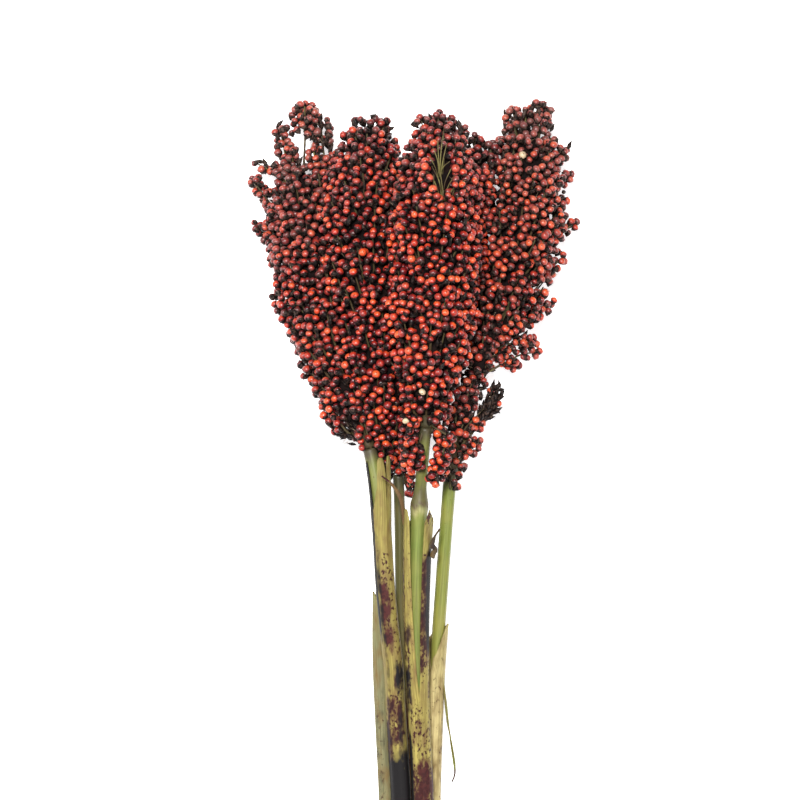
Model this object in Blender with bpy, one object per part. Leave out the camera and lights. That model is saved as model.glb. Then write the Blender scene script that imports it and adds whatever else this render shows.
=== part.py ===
"""A bunch of five cut sorghum stems with their ripe seed heads, tied once round the stems.

The bunch lies on its back on a flat surface: +Y runs from the cut ends to the tips of the heads,
+Z is up, and the origin is on the surface, under the middle of the bunch.
Each plant is one smooth line from its cut end, through the tie, to the tip of its head.
A stalk and a leaf sheath follow the lower part of that line, and a seed head the upper part.
Lengths in the tables are millimetres, and MM turns them into metres.
"""

import math

import bmesh
import bpy
import numpy as np
from mathutils import Vector
from mathutils.geometry import delaunay_2d_cdt

MM = 0.001

# Driving sizes, in millimetres
GRAIN_SPACING = 8.9
GRAIN_RELIEF = 2.9
GRAIN_UNEVENNESS = 0.5
MOST_RELIEF_SHARE = 0.4
HEAD_GAP = 1.0
STALK_MARGIN = 2.2
LEAST_HEIGHT = 0.6
LEAST_REACH = 4.0
REACH_STEPS = 32
JOINT_GAP = 0.3
SHEATH_WALL = 0.9
SHEATH_CLEARANCE = 0.55
STALK_SIDES = 8
STALK_RINGS = 13
CUT_END_Y = -72.0
TIE_Y = -38.0
TIE_TURN_PITCH = 2.4
TIE_TURNS = 3
TIE_THICKNESS = 2.2
FINGER_LENGTH = 27.0
FINGER_RADIUS = 6.6
FINGER_REACH = 11.0
FINGER_PROFILE = [(0, 0.6), (0.35, 1), (0.75, 1), (1, 0.72)]
FINGER_LEAN = (0.62, 0.78)
BRANCH_RISE = 24.0
FINGER_SPACING = 17.0
FINGER_TRIES = 60

GOLDEN_ANGLE = math.pi * (3 - math.sqrt(5))
GOLDEN_SHARE = (math.sqrt(5) - 1) / 2
PATH_POINTS = 90
FINGER_POINTS = 24
SMOOTHING_POINTS = 11
END_RADIUS = 0.02
END_REACH = 0.9
THIN_PART = 14.0
JITTER = 0.17
SEED = 7

# stem: the line from the cut end up to the foot of the head, and head: on to the tip.
# stalk: radius at the cut end, and at the foot of the head.
# sheath_top: where the leaf sheath ends, as Y; slit: degrees that it gapes by there;
# slit_from: the Y from which it gapes; slit_facing: the side that the slit is on, in degrees from +X towards +Z.
# width: radius of the head along its length, as (share of the length, radius).
# tips: the ends of the side branches that shape the outline; fingers: how many stand out of the head in all.
PLANTS = {
    "left": {
        "stem": [(-5.2, -72, 15.4), (-5.6, -38, 18.9), (-6.1, 0, 22.0), (-8.4, 39, 26.0), (-10.6, 78, 30.5),
                 (-14.4, 112, 34.5), (-17.2, 156, 38.5), (-20.0, 180, 39.6), (-23.8, 197, 39.4)],
        "head": [(-37.5, 235, 34.5), (-50, 280, 27), (-60.5, 325, 22.2), (-63.5, 358, 21), (-60.5, 395, 22.5)],
        "stalk": (4.2, 3.9),
        "sheath_top": 192, "slit": 70, "slit_from": 150, "slit_facing": 200, "gape": 0.8,
        "width": [(0, 6), (0.1, 15), (0.25, 20), (0.5, 25), (0.7, 24), (0.82, 18), (0.92, 13), (1, 10)],
        "tips": [(-79, 378, 23), (-89.5, 361, 24), (-92.5, 345, 20), (-89.5, 318, 21), (-74, 271, 26), (-46, 206, 40)],
        "fingers": 11, "turn": 0.4,
    },
    "middle_left": {
        "stem": [(-13.3, -72, 8.1), (-14.0, -38, 11.8), (-14.5, 0, 15.5), (-16.4, 39, 18.4), (-18.0, 78, 20.8),
                 (-17.6, 112, 23.4), (-16.4, 156, 27.0), (-16.2, 184, 30.5)],
        "head": [(-18, 224, 38), (-21.3, 280, 42), (-24.6, 336, 42), (-24.2, 390, 40)],
        "stalk": (3.0, 2.9),
        "sheath_top": 118, "slit": 60, "slit_from": 80, "slit_facing": 20, "gape": 0.4,
        "width": [(0, 4), (0.15, 16), (0.4, 26), (0.7, 27), (0.85, 21), (0.94, 14), (1, 9)],
        "tips": [(-12.5, 378, 44), (-30, 374, 46)],
        "fingers": 9, "turn": 1.9,
    },
    "middle_right": {
        "stem": [(-1.3, -72, 5.3), (-1.9, -38, 8.6), (-2.2, 0, 11.6), (-3.4, 39, 14.6), (-5.0, 78, 17.8),
                 (-6.2, 112, 20.6), (-6.8, 156, 24.2), (-7.6, 182, 26.2)],
        "head": [(1.6, 224, 25.5), (15.7, 280, 24), (27.5, 330, 24), (38, 375, 25)],
        "stalk": (3.3, 3.1),
        "sheath_top": 92, "slit": 60, "slit_from": 55, "slit_facing": 90, "gape": 0.4,
        "width": [(0, 4), (0.15, 15), (0.4, 24), (0.7, 25), (0.87, 20), (0.95, 14), (1, 9)],
        "tips": [(35, 372, 32), (44, 362, 26)],
        "fingers": 8, "turn": 3.1,
    },
    "front": {
        "stem": [(7.4, -72, 18.2), (6.6, -38, 22.2), (6.2, 0, 26.0), (4.4, 39, 30.0), (3.0, 78, 34.4),
                 (2.6, 112, 38.6), (3.3, 150, 44.2), (4.1, 164, 46.4), (6.7, 200, 53), (7.5, 209, 55)],
        "head": [(9.0, 235, 60), (11.2, 280, 66), (13.4, 325, 69), (15.4, 390, 69)],
        "stalk": (4.8, 4.5), "axis_radius": 3.3,
        "sheath_top": 164, "slit": 150, "slit_from": 62, "slit_facing": 86, "gape": 2.6,
        "width": [(0, 6), (0.12, 15), (0.35, 23), (0.6, 25), (0.8, 21), (0.93, 14), (1, 10)],
        "tips": [(5.5, 380, 73), (25.5, 380, 70), (22, 250, 74), (2, 262, 78)],
        "fingers": 11, "turn": 5.2,
    },
    "right": {
        "stem": [(12.2, -72, 7.2), (11.6, -38, 11.2), (11.4, 0, 15.0), (12.6, 39, 18.4), (14.2, 78, 22.0),
                 (16.4, 112, 25.0), (19.6, 156, 29.0), (21.9, 184, 31.4)],
        "head": [(31, 224, 31.5), (45.5, 263, 27), (57, 302, 24), (64.4, 342, 22.5), (66.0, 397, 23)],
        "stalk": (3.6, 3.7),
        "sheath_top": 98, "slit": 100, "slit_from": 70, "slit_facing": 120, "gape": 0.4,
        "width": [(0, 5), (0.1, 12), (0.2, 13), (0.32, 20), (0.5, 25), (0.7, 24), (0.84, 19), (0.93, 14), (1, 10)],
        "tips": [(92.5, 367, 24), (92.5, 352, 18), (89.5, 336, 28), (94, 323, 20), (88, 305, 26), (72, 250, 29),
                 (49, 230, 36), (39.5, 201, 37), (80, 386, 23)],
        "fingers": 12, "turn": 4.4,
    },
}

# The clusters that hang beside the foot of the front head, as (top, bottom, radius).
HANGING_CLUSTERS = [
    ((5.0, 232, 62), (-0.8, 171, 61), 8.4),
    ((15.0, 232, 57), (18.2, 174, 53), 6.6),
]

# The stub of stalk that widens into a ring under the front head.
COLLAR_Y = 165.0
COLLAR_SWELL = 0.9
COLLAR_WIDTH = 5.0

# A torn strip that hangs from the right-hand sheath: its midline, and its width and thickness.
TORN_STRIP = [(17.9, 66, 22.0), (19.6, 52, 21.0), (20.9, 40, 18.6), (23.4, 24, 14.8), (24.6, 12, 11.6), (22.9, 6, 9.6)]
TORN_STRIP_WIDTH = 2.4
TORN_STRIP_THICKNESS = 0.8
# The dry, torn corner of the front sheath, that reaches over to the left.
TORN_CORNER = [(-3.6, 154, 46.2), (-4.6, 163, 48.8), (-6.6, 170, 52.0), (-11.6, 177, 53.6), (-17.0, 181.5, 53.2)]
TORN_CORNER_WIDTH = 2.0
TORN_CORNER_THICKNESS = 0.9

COLOURS = {
    "head": ((0.42, 0.055, 0.03), 0.45),
    "stalk": ((0.26, 0.36, 0.11), 0.5),
    "sheath": ((0.55, 0.46, 0.19), 0.6),
    "tie": ((0.55, 0.4, 0.22), 0.9),
}


def smooth_path(points, count):
    """Evenly spaced points on the smooth curve through the given ones."""
    p = np.array(points, float)
    p = np.vstack([2 * p[0] - p[1], p, 2 * p[-1] - p[-2]])
    t = np.linspace(0, 1, 24, endpoint=False)[:, None]
    fine = []
    for a, b, c, d in zip(p, p[1:], p[2:], p[3:]):
        fine.append(0.5 * (2 * b + (c - a) * t + (2 * a - 5 * b + 4 * c - d) * t**2 + (3 * b - a - 3 * c + d) * t**3))
    fine = np.vstack([*fine, p[-2][None]])
    along = np.concatenate([[0], np.cumsum(np.linalg.norm(np.diff(fine, axis=0), axis=1))])
    wanted = np.linspace(0, along[-1], count)
    return np.stack([np.interp(wanted, along, fine[:, k]) for k in range(3)], axis=1)


def frames_along(path):
    """Unit vectors (along, right, up) at each point of a path that runs roughly along Y."""
    along = np.gradient(path, axis=0)
    along /= np.linalg.norm(along, axis=1)[:, None]
    up = np.array([0, 0, 1.0]) - along[:, 2:3] * along
    up /= np.linalg.norm(up, axis=1)[:, None]
    return along, np.cross(along, up), up


def at(path, y):
    """The point of a path where it passes a given Y."""
    return np.array([np.interp(y, path[:, 1], path[:, k]) for k in range(3)])


def stem_path(plant, low_y, high_y, count):
    """The part of a plant's line between two heights, evenly spaced."""
    whole = smooth_path([*plant["stem"], plant["head"][0]], 400)
    return smooth_path([at(whole, y) for y in np.linspace(low_y, high_y, 12)], count)


def head_path(plant, count=PATH_POINTS):
    """The line of a seed head, from its foot to its tip."""
    whole = smooth_path([*plant["stem"][-2:], *plant["head"]], 600)
    foot = np.argmin(np.abs(whole[:, 1] - plant["stem"][-1][1]))
    return smooth_path(whole[foot:: 12], count)


def rounded_width(table, length, count=PATH_POINTS):
    """Radius at evenly spaced points from a table of (share, radius), closed by round ends."""
    share, radius = np.array(table, float).T
    s = np.linspace(0, 1, count)
    body = np.interp(s, share, radius)
    kernel = np.hanning(SMOOTHING_POINTS)
    body = np.convolve(np.pad(body, SMOOTHING_POINTS // 2, mode="edge"), kernel / kernel.sum(), mode="valid")
    from_foot = s * length
    from_tip = (1 - s) * length
    for distance, end in ((from_foot, radius[0]), (from_tip, radius[-1])):
        near = distance < end
        dome = np.sqrt(np.maximum(end**2 - (end - distance[near])**2, 0)) + END_RADIUS
        body[near] = np.minimum(body[near], dome)
    return body


def length_of(path):
    return float(np.linalg.norm(np.diff(path, axis=0), axis=1).sum())


def head_shapes():
    """For each plant, the line of its head and the radius along it."""
    shapes = {}
    for name, plant in PLANTS.items():
        path = head_path(plant)
        shapes[name] = (path, rounded_width(plant["width"], length_of(path)))
    return shapes


def crowding(points, path, radius):
    """How far out each point lies in a head, as a share of the head's own radius there."""
    reach = np.maximum(radius, LEAST_REACH)
    best = np.full(len(points), np.inf)
    for centre, r in zip(path[::2], reach[::2]):
        best = np.minimum(best, np.linalg.norm(points - centre, axis=1) / r)
    return best


def free_reach(own, rivals, stalks, origins, directions, wanted):
    """How far places may stand out before they press against a neighbour, and which of them do.
    A place belongs to the head whose line is nearest, each distance measured in that head's radius."""
    free = np.zeros(len(wanted))
    open_way = np.ones(len(wanted), bool)
    for share in np.linspace(1 / REACH_STEPS, 1, REACH_STEPS):
        points = origins + directions * (wanted * share)[:, None]
        blocked = np.zeros(len(wanted), bool)
        for rival in rivals:
            blocked |= crowding(points, *own) > crowding(points, *rival)
        for stalk, stalk_radius_there in stalks:
            nearest = np.min([np.linalg.norm(points - c, axis=1) for c in stalk[::2]], axis=0)
            blocked |= nearest < stalk_radius_there + STALK_MARGIN
        open_way &= ~blocked
        free = np.where(open_way, wanted * share, free)
    pressed = free < wanted - 1e-6
    return np.where(pressed, np.maximum(free - HEAD_GAP, LEAST_HEIGHT), free), pressed


def spread_over(path, radius, rng, turn):
    """Evenly spread places on a spindle round a path, in a spiral: share of the length and angle."""
    length = length_of(path)
    ds = length / (len(path) - 1)
    slope = np.gradient(radius, ds)
    strip = radius * np.sqrt(1 + slope**2) * ds * 2 * math.pi
    area = np.concatenate([[0], np.cumsum((strip[1:] + strip[:-1]) / 2)])
    count = int(area[-1] / (GRAIN_SPACING**2 * math.sqrt(3) / 2))
    wanted = (np.arange(count) + 0.5) / count * area[-1]
    s = np.interp(wanted, area, np.linspace(0, 1, len(path)))
    r = np.maximum(np.interp(s, np.linspace(0, 1, len(path)), radius), 1.5)
    theta = turn + GOLDEN_ANGLE * np.arange(count)
    inner = (s > 0.1) & (s < 0.9)
    s = np.where(inner, s + rng.uniform(-1, 1, count) * JITTER * GRAIN_SPACING / length, s)
    theta = np.where(inner, theta + rng.uniform(-1, 1, count) * JITTER * GRAIN_SPACING / r, theta)
    return s, np.mod(theta, 2 * math.pi)


def net_over(s, theta, path, radius):
    """Triangles that join places on a spindle to their neighbours.
    They are found on a flat map that keeps angles, and the map is laid side by side to close it round the spindle.
    The two ends of the spindle get a point each: the last two in the count."""
    step = length_of(path) / (len(path) - 1)
    slope = np.gradient(radius, step)
    rate = np.sqrt(1 + slope**2) * step / np.maximum(radius, 1.0)
    north = np.concatenate([[0], np.cumsum((rate[1:] + rate[:-1]) / 2)])
    q = np.interp(s, np.linspace(0, 1, len(path)), north)
    places = []
    flat_map = []
    for turn in range(-2, 3):
        for i in range(len(s)):
            places.append(i)
            flat_map.append((q[i], theta[i] + 2 * math.pi * turn))
        for end, edge in ((len(s), q.min() - END_REACH), (len(s) + 1, q.max() + END_REACH)):
            for k in range(6):
                places.append(end)
                flat_map.append((edge, math.pi / 3 * k + 2 * math.pi * turn))
    found = delaunay_2d_cdt([Vector(p) for p in flat_map], [], [], 0, 0.0)
    triangles = []
    for face in found[2]:
        corners = [found[3][i][0] for i in face]
        middle = sum(flat_map[i][1] for i in corners) / 3
        names = tuple(places[i] for i in corners)
        if 0 <= middle < 2 * math.pi and len(set(names)) == 3:
            triangles.append(names)
    return triangles


def grain_relief(tops, floors, flat, triangles):
    """Points and faces of a closed skin with a pointed grain at each top, and a pit where three of them meet.
    Where all three are pressed flat there is no pit."""
    points = [Vector(p) for p in tops]
    pit_of = {}
    for index, triangle in enumerate(triangles):
        if not all(flat[i] for i in triangle):
            pit_of[index] = len(points)
            points.append(Vector(np.mean([floors[i] for i in triangle], axis=0)))
    beside = {}
    for index, (a, b, c) in enumerate(triangles):
        for edge in ((a, b), (b, c), (c, a)):
            beside[edge] = index
    faces = []
    for index, triangle in enumerate(triangles):
        if index not in pit_of:
            faces.append(triangle)
            continue
        pit = pit_of[index]
        for a, b in zip(triangle, (*triangle[1:], triangle[0])):
            across = pit_of.get(beside[(b, a)])
            faces.append((a, b, pit) if across is None else (a, across, pit))
    return points, faces


def grain_body(path, radius, rng, turn, reach):
    """A closed spindle that grains cover. reach limits how far each place may stand from the path."""
    s, theta = spread_over(path, radius, rng, turn)
    grid = np.linspace(0, 1, len(path))
    along, right, up = frames_along(path)

    def place(values):
        return np.stack([np.interp(s, grid, values[:, k]) for k in range(3)], axis=1)

    centres = place(path)
    outward = place(right) * np.cos(theta)[:, None] + place(up) * np.sin(theta)[:, None]
    r = np.interp(s, grid, radius)
    height = np.maximum(r + rng.uniform(-1, 1, len(s)) * GRAIN_UNEVENNESS, LEAST_HEIGHT)
    free, pressed = reach(centres, outward, height)
    flat = pressed & (free < height - GRAIN_RELIEF)
    kept = ~flat | (r < THIN_PART) | (np.arange(len(s)) % 3 == 0)
    s, theta, r, centres, outward = s[kept], theta[kept], r[kept], centres[kept], outward[kept]
    height, flat = np.minimum(free, height)[kept], flat[kept]
    relief = np.minimum(GRAIN_RELIEF, height * MOST_RELIEF_SHARE)
    tops = centres + outward * height[:, None]
    floors = centres + outward * np.where(flat, height, np.minimum(r - relief, height))[:, None]
    triangles = net_over(s, theta, path, radius)
    tops = np.vstack([tops, path[:1], path[-1:]])
    floors = np.vstack([floors, path[:1], path[-1:]])
    flat = np.append(flat, [True, False])
    return grain_relief(tops, floors, flat, triangles)


def finger_lines(plant, own, rivals, stalks):
    """The side branches whose tips stand out of a head, as (foot, tip).
    Those that shape the outline are listed for the plant, and the rest follow the golden angle."""
    path, radius = own
    lines = []
    for tip in np.array(plant["tips"], float):
        rise = tip - at(path, max(path[0][1] + FINGER_RADIUS, tip[1] - BRANCH_RISE))
        lines.append((tip - rise * min(1.0, FINGER_LENGTH / np.linalg.norm(rise)), tip))
    along, right, up = frames_along(path)
    k = np.arange(FINGER_TRIES)
    place = ((0.14 + 0.8 * ((k * GOLDEN_SHARE) % 1)) * (len(path) - 1)).astype(int)
    angle = plant["turn"] + GOLDEN_ANGLE * k
    out = right[place] * np.cos(angle)[:, None] + up[place] * np.sin(angle)[:, None]
    pressed = free_reach(own, rivals, stalks, path[place], out, radius[place] + 6.0)[1]
    heading = out * FINGER_LEAN[0] + along[place] * FINGER_LEAN[1]
    tips = path[place] + out * (radius[place] - 2)[:, None] + heading * FINGER_REACH
    clear = crowding(tips, *own) * 1.02 < np.min([crowding(tips, *rival) for rival in rivals], axis=0)
    for tip, way in zip(tips[clear & ~pressed], heading[clear & ~pressed]):
        too_near = any(np.linalg.norm(tip - other_tip) < FINGER_SPACING for _, other_tip in lines)
        if len(lines) < plant["fingers"] and not too_near and tip[2] > FINGER_RADIUS:
            lines.append((tip - way * FINGER_LENGTH, tip))
    return lines


def new_mesh_object(name, points, faces, kind):
    """A mesh object in metres, with its faces pointing out."""
    mesh = bpy.data.meshes.new(name)
    mesh.from_pydata([Vector(p) * MM for p in points], [], faces)
    made = bpy.data.objects.new(name, mesh)
    bpy.context.scene.collection.objects.link(made)
    shape = bmesh.new()
    shape.from_mesh(mesh)
    bmesh.ops.recalc_face_normals(shape, faces=shape.faces[:])
    shape.to_mesh(mesh)
    shape.free()
    made.data.materials.append(material(kind))
    return made


def material(kind):
    """The plain finish of one kind of piece."""
    found = bpy.data.materials.get(kind)
    if found:
        return found
    colour, roughness = COLOURS[kind]
    made = bpy.data.materials.new(kind)
    made.use_nodes = True
    shader = made.node_tree.nodes["Principled BSDF"]
    shader.inputs["Base Color"].default_value = (*colour, 1)
    shader.inputs["Roughness"].default_value = roughness
    return made


def fuse(body, others):
    """Joins other objects to the body as one solid, and removes them."""
    if not others:
        return
    group = bpy.data.collections.new(body.name + "_parts")
    for other in others:
        group.objects.link(other)
    union = body.modifiers.new("fuse", "BOOLEAN")
    union.operation = "UNION"
    union.operand_type = "COLLECTION"
    union.collection = group
    bpy.context.view_layer.update()
    graph = bpy.context.evaluated_depsgraph_get()
    joined = bpy.data.meshes.new_from_object(body.evaluated_get(graph))
    body.modifiers.remove(union)
    body.data = joined
    for other in others:
        bpy.data.objects.remove(other)
    bpy.data.collections.remove(group)


def drop_pockets(shape):
    """Removes the skins of closed pockets that the union left between fused pieces: all but the largest shell."""
    unseen = set(shape.faces)
    shells = []
    while unseen:
        shell = {unseen.pop()}
        front = list(shell)
        while front:
            for edge in front.pop().edges:
                for face in edge.link_faces:
                    if face in unseen:
                        unseen.discard(face)
                        shell.add(face)
                        front.append(face)
        shells.append(shell)
    shells.sort(key=len)
    for shell in shells[:-1]:
        bmesh.ops.delete(shape, geom=list(shell), context="FACES")


def trim_at_surface(made):
    """Cuts off what would be below the surface, which leaves the small flats that the bunch rests on."""
    shape = bmesh.new()
    shape.from_mesh(made.data)
    drop_pockets(shape)
    cut = bmesh.ops.bisect_plane(shape, geom=shape.verts[:] + shape.edges[:] + shape.faces[:], dist=1e-7,
                                 plane_co=(0, 0, 0), plane_no=(0, 0, 1), clear_inner=True)
    rim = [e for e in cut["geom_cut"] if isinstance(e, bmesh.types.BMEdge)]
    if rim:
        bmesh.ops.holes_fill(shape, edges=rim, sides=0)
    bmesh.ops.triangulate(shape, faces=[f for f in shape.faces if len(f.verts) > 3])
    shape.to_mesh(made.data)
    shape.free()


def make_head(name, plant, shapes, stalks):
    """One seed head: its spindle of grains, with the tips of its side branches fused on."""
    rng = np.random.default_rng(SEED + len(name))
    own = shapes[name]
    rivals = [shapes[other] for other in shapes if other != name]
    other_stalks = [stalks[other] for other in stalks if other != name]

    def room_in_bunch(origins, directions, wanted):
        return free_reach(own, rivals, other_stalks, origins, directions, wanted)

    def room_for_finger(origins, directions, wanted):
        return free_reach(own, rivals, stalks.values(), origins, directions, wanted)

    def room_beside_stalk(origins, directions, wanted):
        return free_reach(own, [], [stalks[name]], origins, directions, wanted)

    points, faces = grain_body(*own, rng, plant["turn"], room_in_bunch)
    head = new_mesh_object("head_" + name, points, faces, "head")
    lines = [(foot, tip, FINGER_RADIUS, room_for_finger) for foot, tip in finger_lines(plant, own, rivals, other_stalks)]
    if name == "front":
        lines += [(np.array(top), np.array(low), thick, room_beside_stalk) for top, low, thick in HANGING_CLUSTERS]
    fingers = []
    for number, (foot, tip, thick, room) in enumerate(lines):
        line = np.linspace(foot, tip, FINGER_POINTS)
        profile = rounded_width([(share, part * thick) for share, part in FINGER_PROFILE], length_of(line), FINGER_POINTS)
        points, faces = grain_body(line, profile, rng, number, room)
        fingers.append(new_mesh_object(f"finger_{number}", points, faces, "head"))
    fuse(head, fingers)
    trim_at_surface(head)
    return head


def ring_points(centre, right, up, radius, angles):
    return [centre + (right * math.cos(a) + up * math.sin(a)) * radius for a in angles]


def stalk_radius(plant, y):
    """Radius of a stalk at a height. Over its collar, if it has one, it narrows to the axis of the head."""
    low_radius, high_radius = plant["stalk"]
    share = (y - CUT_END_Y) / (plant["stem"][-1][1] - CUT_END_Y)
    radius = low_radius + (high_radius - low_radius) * share
    if "axis_radius" in plant:
        over = min(1.0, max(0.0, (y - COLLAR_Y) / COLLAR_WIDTH / 2))
        radius += (plant["axis_radius"] - radius) * over
        radius += COLLAR_SWELL * math.exp(-((y - COLLAR_Y) / COLLAR_WIDTH) ** 2)
    return radius


def make_stalk(name, plant):
    """The bare stalk, from its cut end to the foot of the head, with the ring where the lowest branches leave."""
    top = plant["stem"][-1][1] - JOINT_GAP
    heights = list(np.linspace(CUT_END_Y, top, STALK_RINGS))
    if "axis_radius" in plant:
        heights = sorted([y for y in heights if abs(y - COLLAR_Y) > 3 * COLLAR_WIDTH]
                         + [COLLAR_Y + COLLAR_WIDTH * step for step in (-2.5, -1, -0.4, 0.3, 0.9, 2)])
    line = stem_path(plant, CUT_END_Y, top, PATH_POINTS)
    path = np.array([at(line, y) for y in heights])
    along, right, up = frames_along(path)
    angles = [2 * math.pi * k / STALK_SIDES for k in range(STALK_SIDES)]
    points = []
    for i, centre in enumerate(path):
        points += ring_points(centre, right[i], up[i], stalk_radius(plant, centre[1]), angles)
    return new_mesh_object("stalk_" + name, points, tube_faces(len(path), STALK_SIDES), "stalk")


def tube_faces(rings, sides):
    """Faces of a closed tube whose rings follow each other in the list of points."""
    faces = []
    for i in range(rings - 1):
        for k in range(sides):
            a, b = i * sides + k, i * sides + (k + 1) % sides
            faces.append((a, b, b + sides, a + sides))
    faces.append(tuple(reversed(range(sides))))
    faces.append(tuple(range((rings - 1) * sides, rings * sides)))
    return faces


def make_sheath(name, plant, columns=9, rows=9):
    """The leaf sheath: a rolled leaf base that wraps the stalk and gapes at its top."""
    path = stem_path(plant, CUT_END_Y, plant["sheath_top"], rows)
    along, right, up = frames_along(path)
    facing = math.radians(plant["slit_facing"])
    points = []
    for wall in (0, SHEATH_WALL):
        for i, centre in enumerate(path):
            opened = max(0.0, (centre[1] - plant["slit_from"]) / (plant["sheath_top"] - plant["slit_from"]))
            half_gap = math.radians(6 + plant["slit"] / 2 * opened)
            angles = np.linspace(facing + half_gap, facing + 2 * math.pi - half_gap, columns + 1)
            radius = stalk_radius(plant, centre[1]) + SHEATH_CLEARANCE + wall + plant["gape"] * opened
            points += ring_points(centre, right[i], up[i], radius, angles)
    across = columns + 1
    layer = rows * across
    faces = []
    for i in range(rows - 1):
        for k in range(columns):
            a = i * across + k
            faces.append((a, a + across, a + across + 1, a + 1))
            faces.append((a + layer, a + layer + 1, a + layer + across + 1, a + layer + across))
        for k in (0, columns):
            a = i * across + k
            faces.append((a, a + layer, a + layer + across, a + across))
    for i in (0, rows - 1):
        for k in range(columns):
            a = i * across + k
            faces.append((a, a + 1, a + layer + 1, a + layer))
    return new_mesh_object("sheath_" + name, points, faces, "sheath")


def make_strip(line, width, thickness, side, tip_share=0.35):
    """A torn ribbon of leaf along a line, to be fused to a sheath. side is the way that its width runs."""
    path = smooth_path(line, 9)
    along = np.gradient(path, axis=0)
    along /= np.linalg.norm(along, axis=1)[:, None]
    points = []
    for i, centre in enumerate(path):
        across = np.array(side, float) - np.dot(side, along[i]) * along[i]
        across /= np.linalg.norm(across)
        normal = np.cross(along[i], across)
        half = width / 2 * (1 - (1 - tip_share) * (i / (len(path) - 1)) ** 2)
        for a, b in ((1, 1), (-1, 1), (-1, -1), (1, -1)):
            points.append(centre + across * half * a + normal * thickness / 2 * b)
    return new_mesh_object("strip", points, tube_faces(len(path), 4), "sheath")


def tie_outline(y, clearance, steps=30):
    """The line that a taut band follows round the sheaths, with its middle and its outward directions."""
    circles = []
    for plant in PLANTS.values():
        centre = at(stem_path(plant, CUT_END_Y, 60, 60), y)
        circles.append((centre[0], centre[2], stalk_radius(plant, y) + SHEATH_CLEARANCE + SHEATH_WALL + clearance))
    outline = []
    for k in range(steps):
        a = 2 * math.pi * k / steps
        x, z, r = max(circles, key=lambda c: c[0] * math.cos(a) + c[1] * math.sin(a) + c[2])
        outline.append(((x + r * math.cos(a), z + r * math.sin(a)), (math.cos(a), math.sin(a))))
    return outline


def make_tie():
    """The tie: turns of twine side by side round the stems, as one band with a ridge for each turn."""
    half = TIE_TURNS * TIE_TURN_PITCH / 2
    profile = [(0.0, half), (0.0, -half)]
    for turn in range(TIE_TURNS):
        start = -half + turn * TIE_TURN_PITCH
        profile.append((TIE_THICKNESS * 0.45, start + 0.15))
        profile.append((TIE_THICKNESS, start + TIE_TURN_PITCH / 2))
    profile.append((TIE_THICKNESS * 0.45, half - 0.15))
    outline = tie_outline(TIE_Y, JOINT_GAP + 0.25)
    points = []
    for (x, z), (nx, nz) in outline:
        points += [(x + nx * out, TIE_Y + shift, z + nz * out) for out, shift in profile]
    sides, rings = len(profile), len(outline)
    faces = []
    for i in range(rings):
        for k in range(sides):
            a, b = i * sides + k, i * sides + (k + 1) % sides
            c, d = ((i + 1) % rings) * sides + (k + 1) % sides, ((i + 1) % rings) * sides + k
            faces.append((a, b, c, d))
    return new_mesh_object("tie", points, faces, "tie")


def centre_over_origin(pieces):
    """Moves the whole bunch sideways so that the origin is under the middle of its box."""
    corners = np.array([v.co[:] for piece in pieces for v in piece.data.vertices])
    middle = (corners.min(axis=0) + corners.max(axis=0)) / 2
    shift = Vector((-middle[0], -middle[1], 0))
    for piece in pieces:
        for vertex in piece.data.vertices:
            vertex.co += shift
    return shift


def main():
    for old in list(bpy.data.objects):
        bpy.data.objects.remove(old)
    shapes = head_shapes()
    stalks = {}
    for name, plant in PLANTS.items():
        path = stem_path(plant, 60, plant["stem"][-1][1], 60)
        sheathed = SHEATH_CLEARANCE + SHEATH_WALL + plant["gape"] if plant["sheath_top"] > 170 else 0
        stalks[name] = (path, max(plant["stalk"]) + sheathed)
    pieces = []
    for name, plant in PLANTS.items():
        pieces.append(make_head(name, plant, shapes, stalks))
        pieces.append(make_stalk(name, plant))
        sheath = make_sheath(name, plant)
        if name == "right":
            fuse(sheath, [make_strip(TORN_STRIP, TORN_STRIP_WIDTH, TORN_STRIP_THICKNESS, (0, 0.3, 1))])
        if name == "front":
            fuse(sheath, [make_strip(TORN_CORNER, TORN_CORNER_WIDTH, TORN_CORNER_THICKNESS, (1, 0.6, 0))])
        pieces.append(sheath)
    pieces.append(make_tie())
    shift = centre_over_origin(pieces)
    print("shift in mm:", [round(v / MM, 3) for v in shift])
    for piece in pieces:
        print(piece.name, "faces", len(piece.data.polygons))


main()
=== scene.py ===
"""A bunch of five cut sorghum stems with ripe red heads, lying on its back with the heads towards +Y.

The sizes of plants are in millimetres, in the frame where Y is 0 a little over the tie.
PLACE moves that frame to the model's own, in metres.
"""

import math

import bmesh
import bpy
import numpy as np
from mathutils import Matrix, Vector


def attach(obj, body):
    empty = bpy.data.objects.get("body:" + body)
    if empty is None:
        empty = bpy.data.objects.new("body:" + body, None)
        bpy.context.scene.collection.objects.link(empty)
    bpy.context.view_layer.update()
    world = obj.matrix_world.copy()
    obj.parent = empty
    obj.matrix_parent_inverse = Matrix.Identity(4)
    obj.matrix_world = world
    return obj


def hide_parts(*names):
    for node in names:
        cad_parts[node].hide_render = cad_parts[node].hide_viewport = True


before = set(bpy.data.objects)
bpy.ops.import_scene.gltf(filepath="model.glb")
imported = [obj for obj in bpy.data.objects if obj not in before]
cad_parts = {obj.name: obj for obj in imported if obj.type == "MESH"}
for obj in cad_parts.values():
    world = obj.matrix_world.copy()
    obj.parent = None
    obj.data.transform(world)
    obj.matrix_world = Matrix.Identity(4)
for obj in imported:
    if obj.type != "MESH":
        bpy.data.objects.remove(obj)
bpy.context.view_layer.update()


# The table top and the light. The bunch lies on a matt white sheet that is lit faintly from below, under a
# soft lamp over the heads and one from each side. The camera looks straight down with a long lens.
MM = 0.001
PLACE = np.array([-0.75, -161.511, 0.0])
PICTURE_CENTRE = (-6.7, 224.0)
PICTURE_WIDTH = 448.0
SHARP_HEIGHT = 45.0
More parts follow.
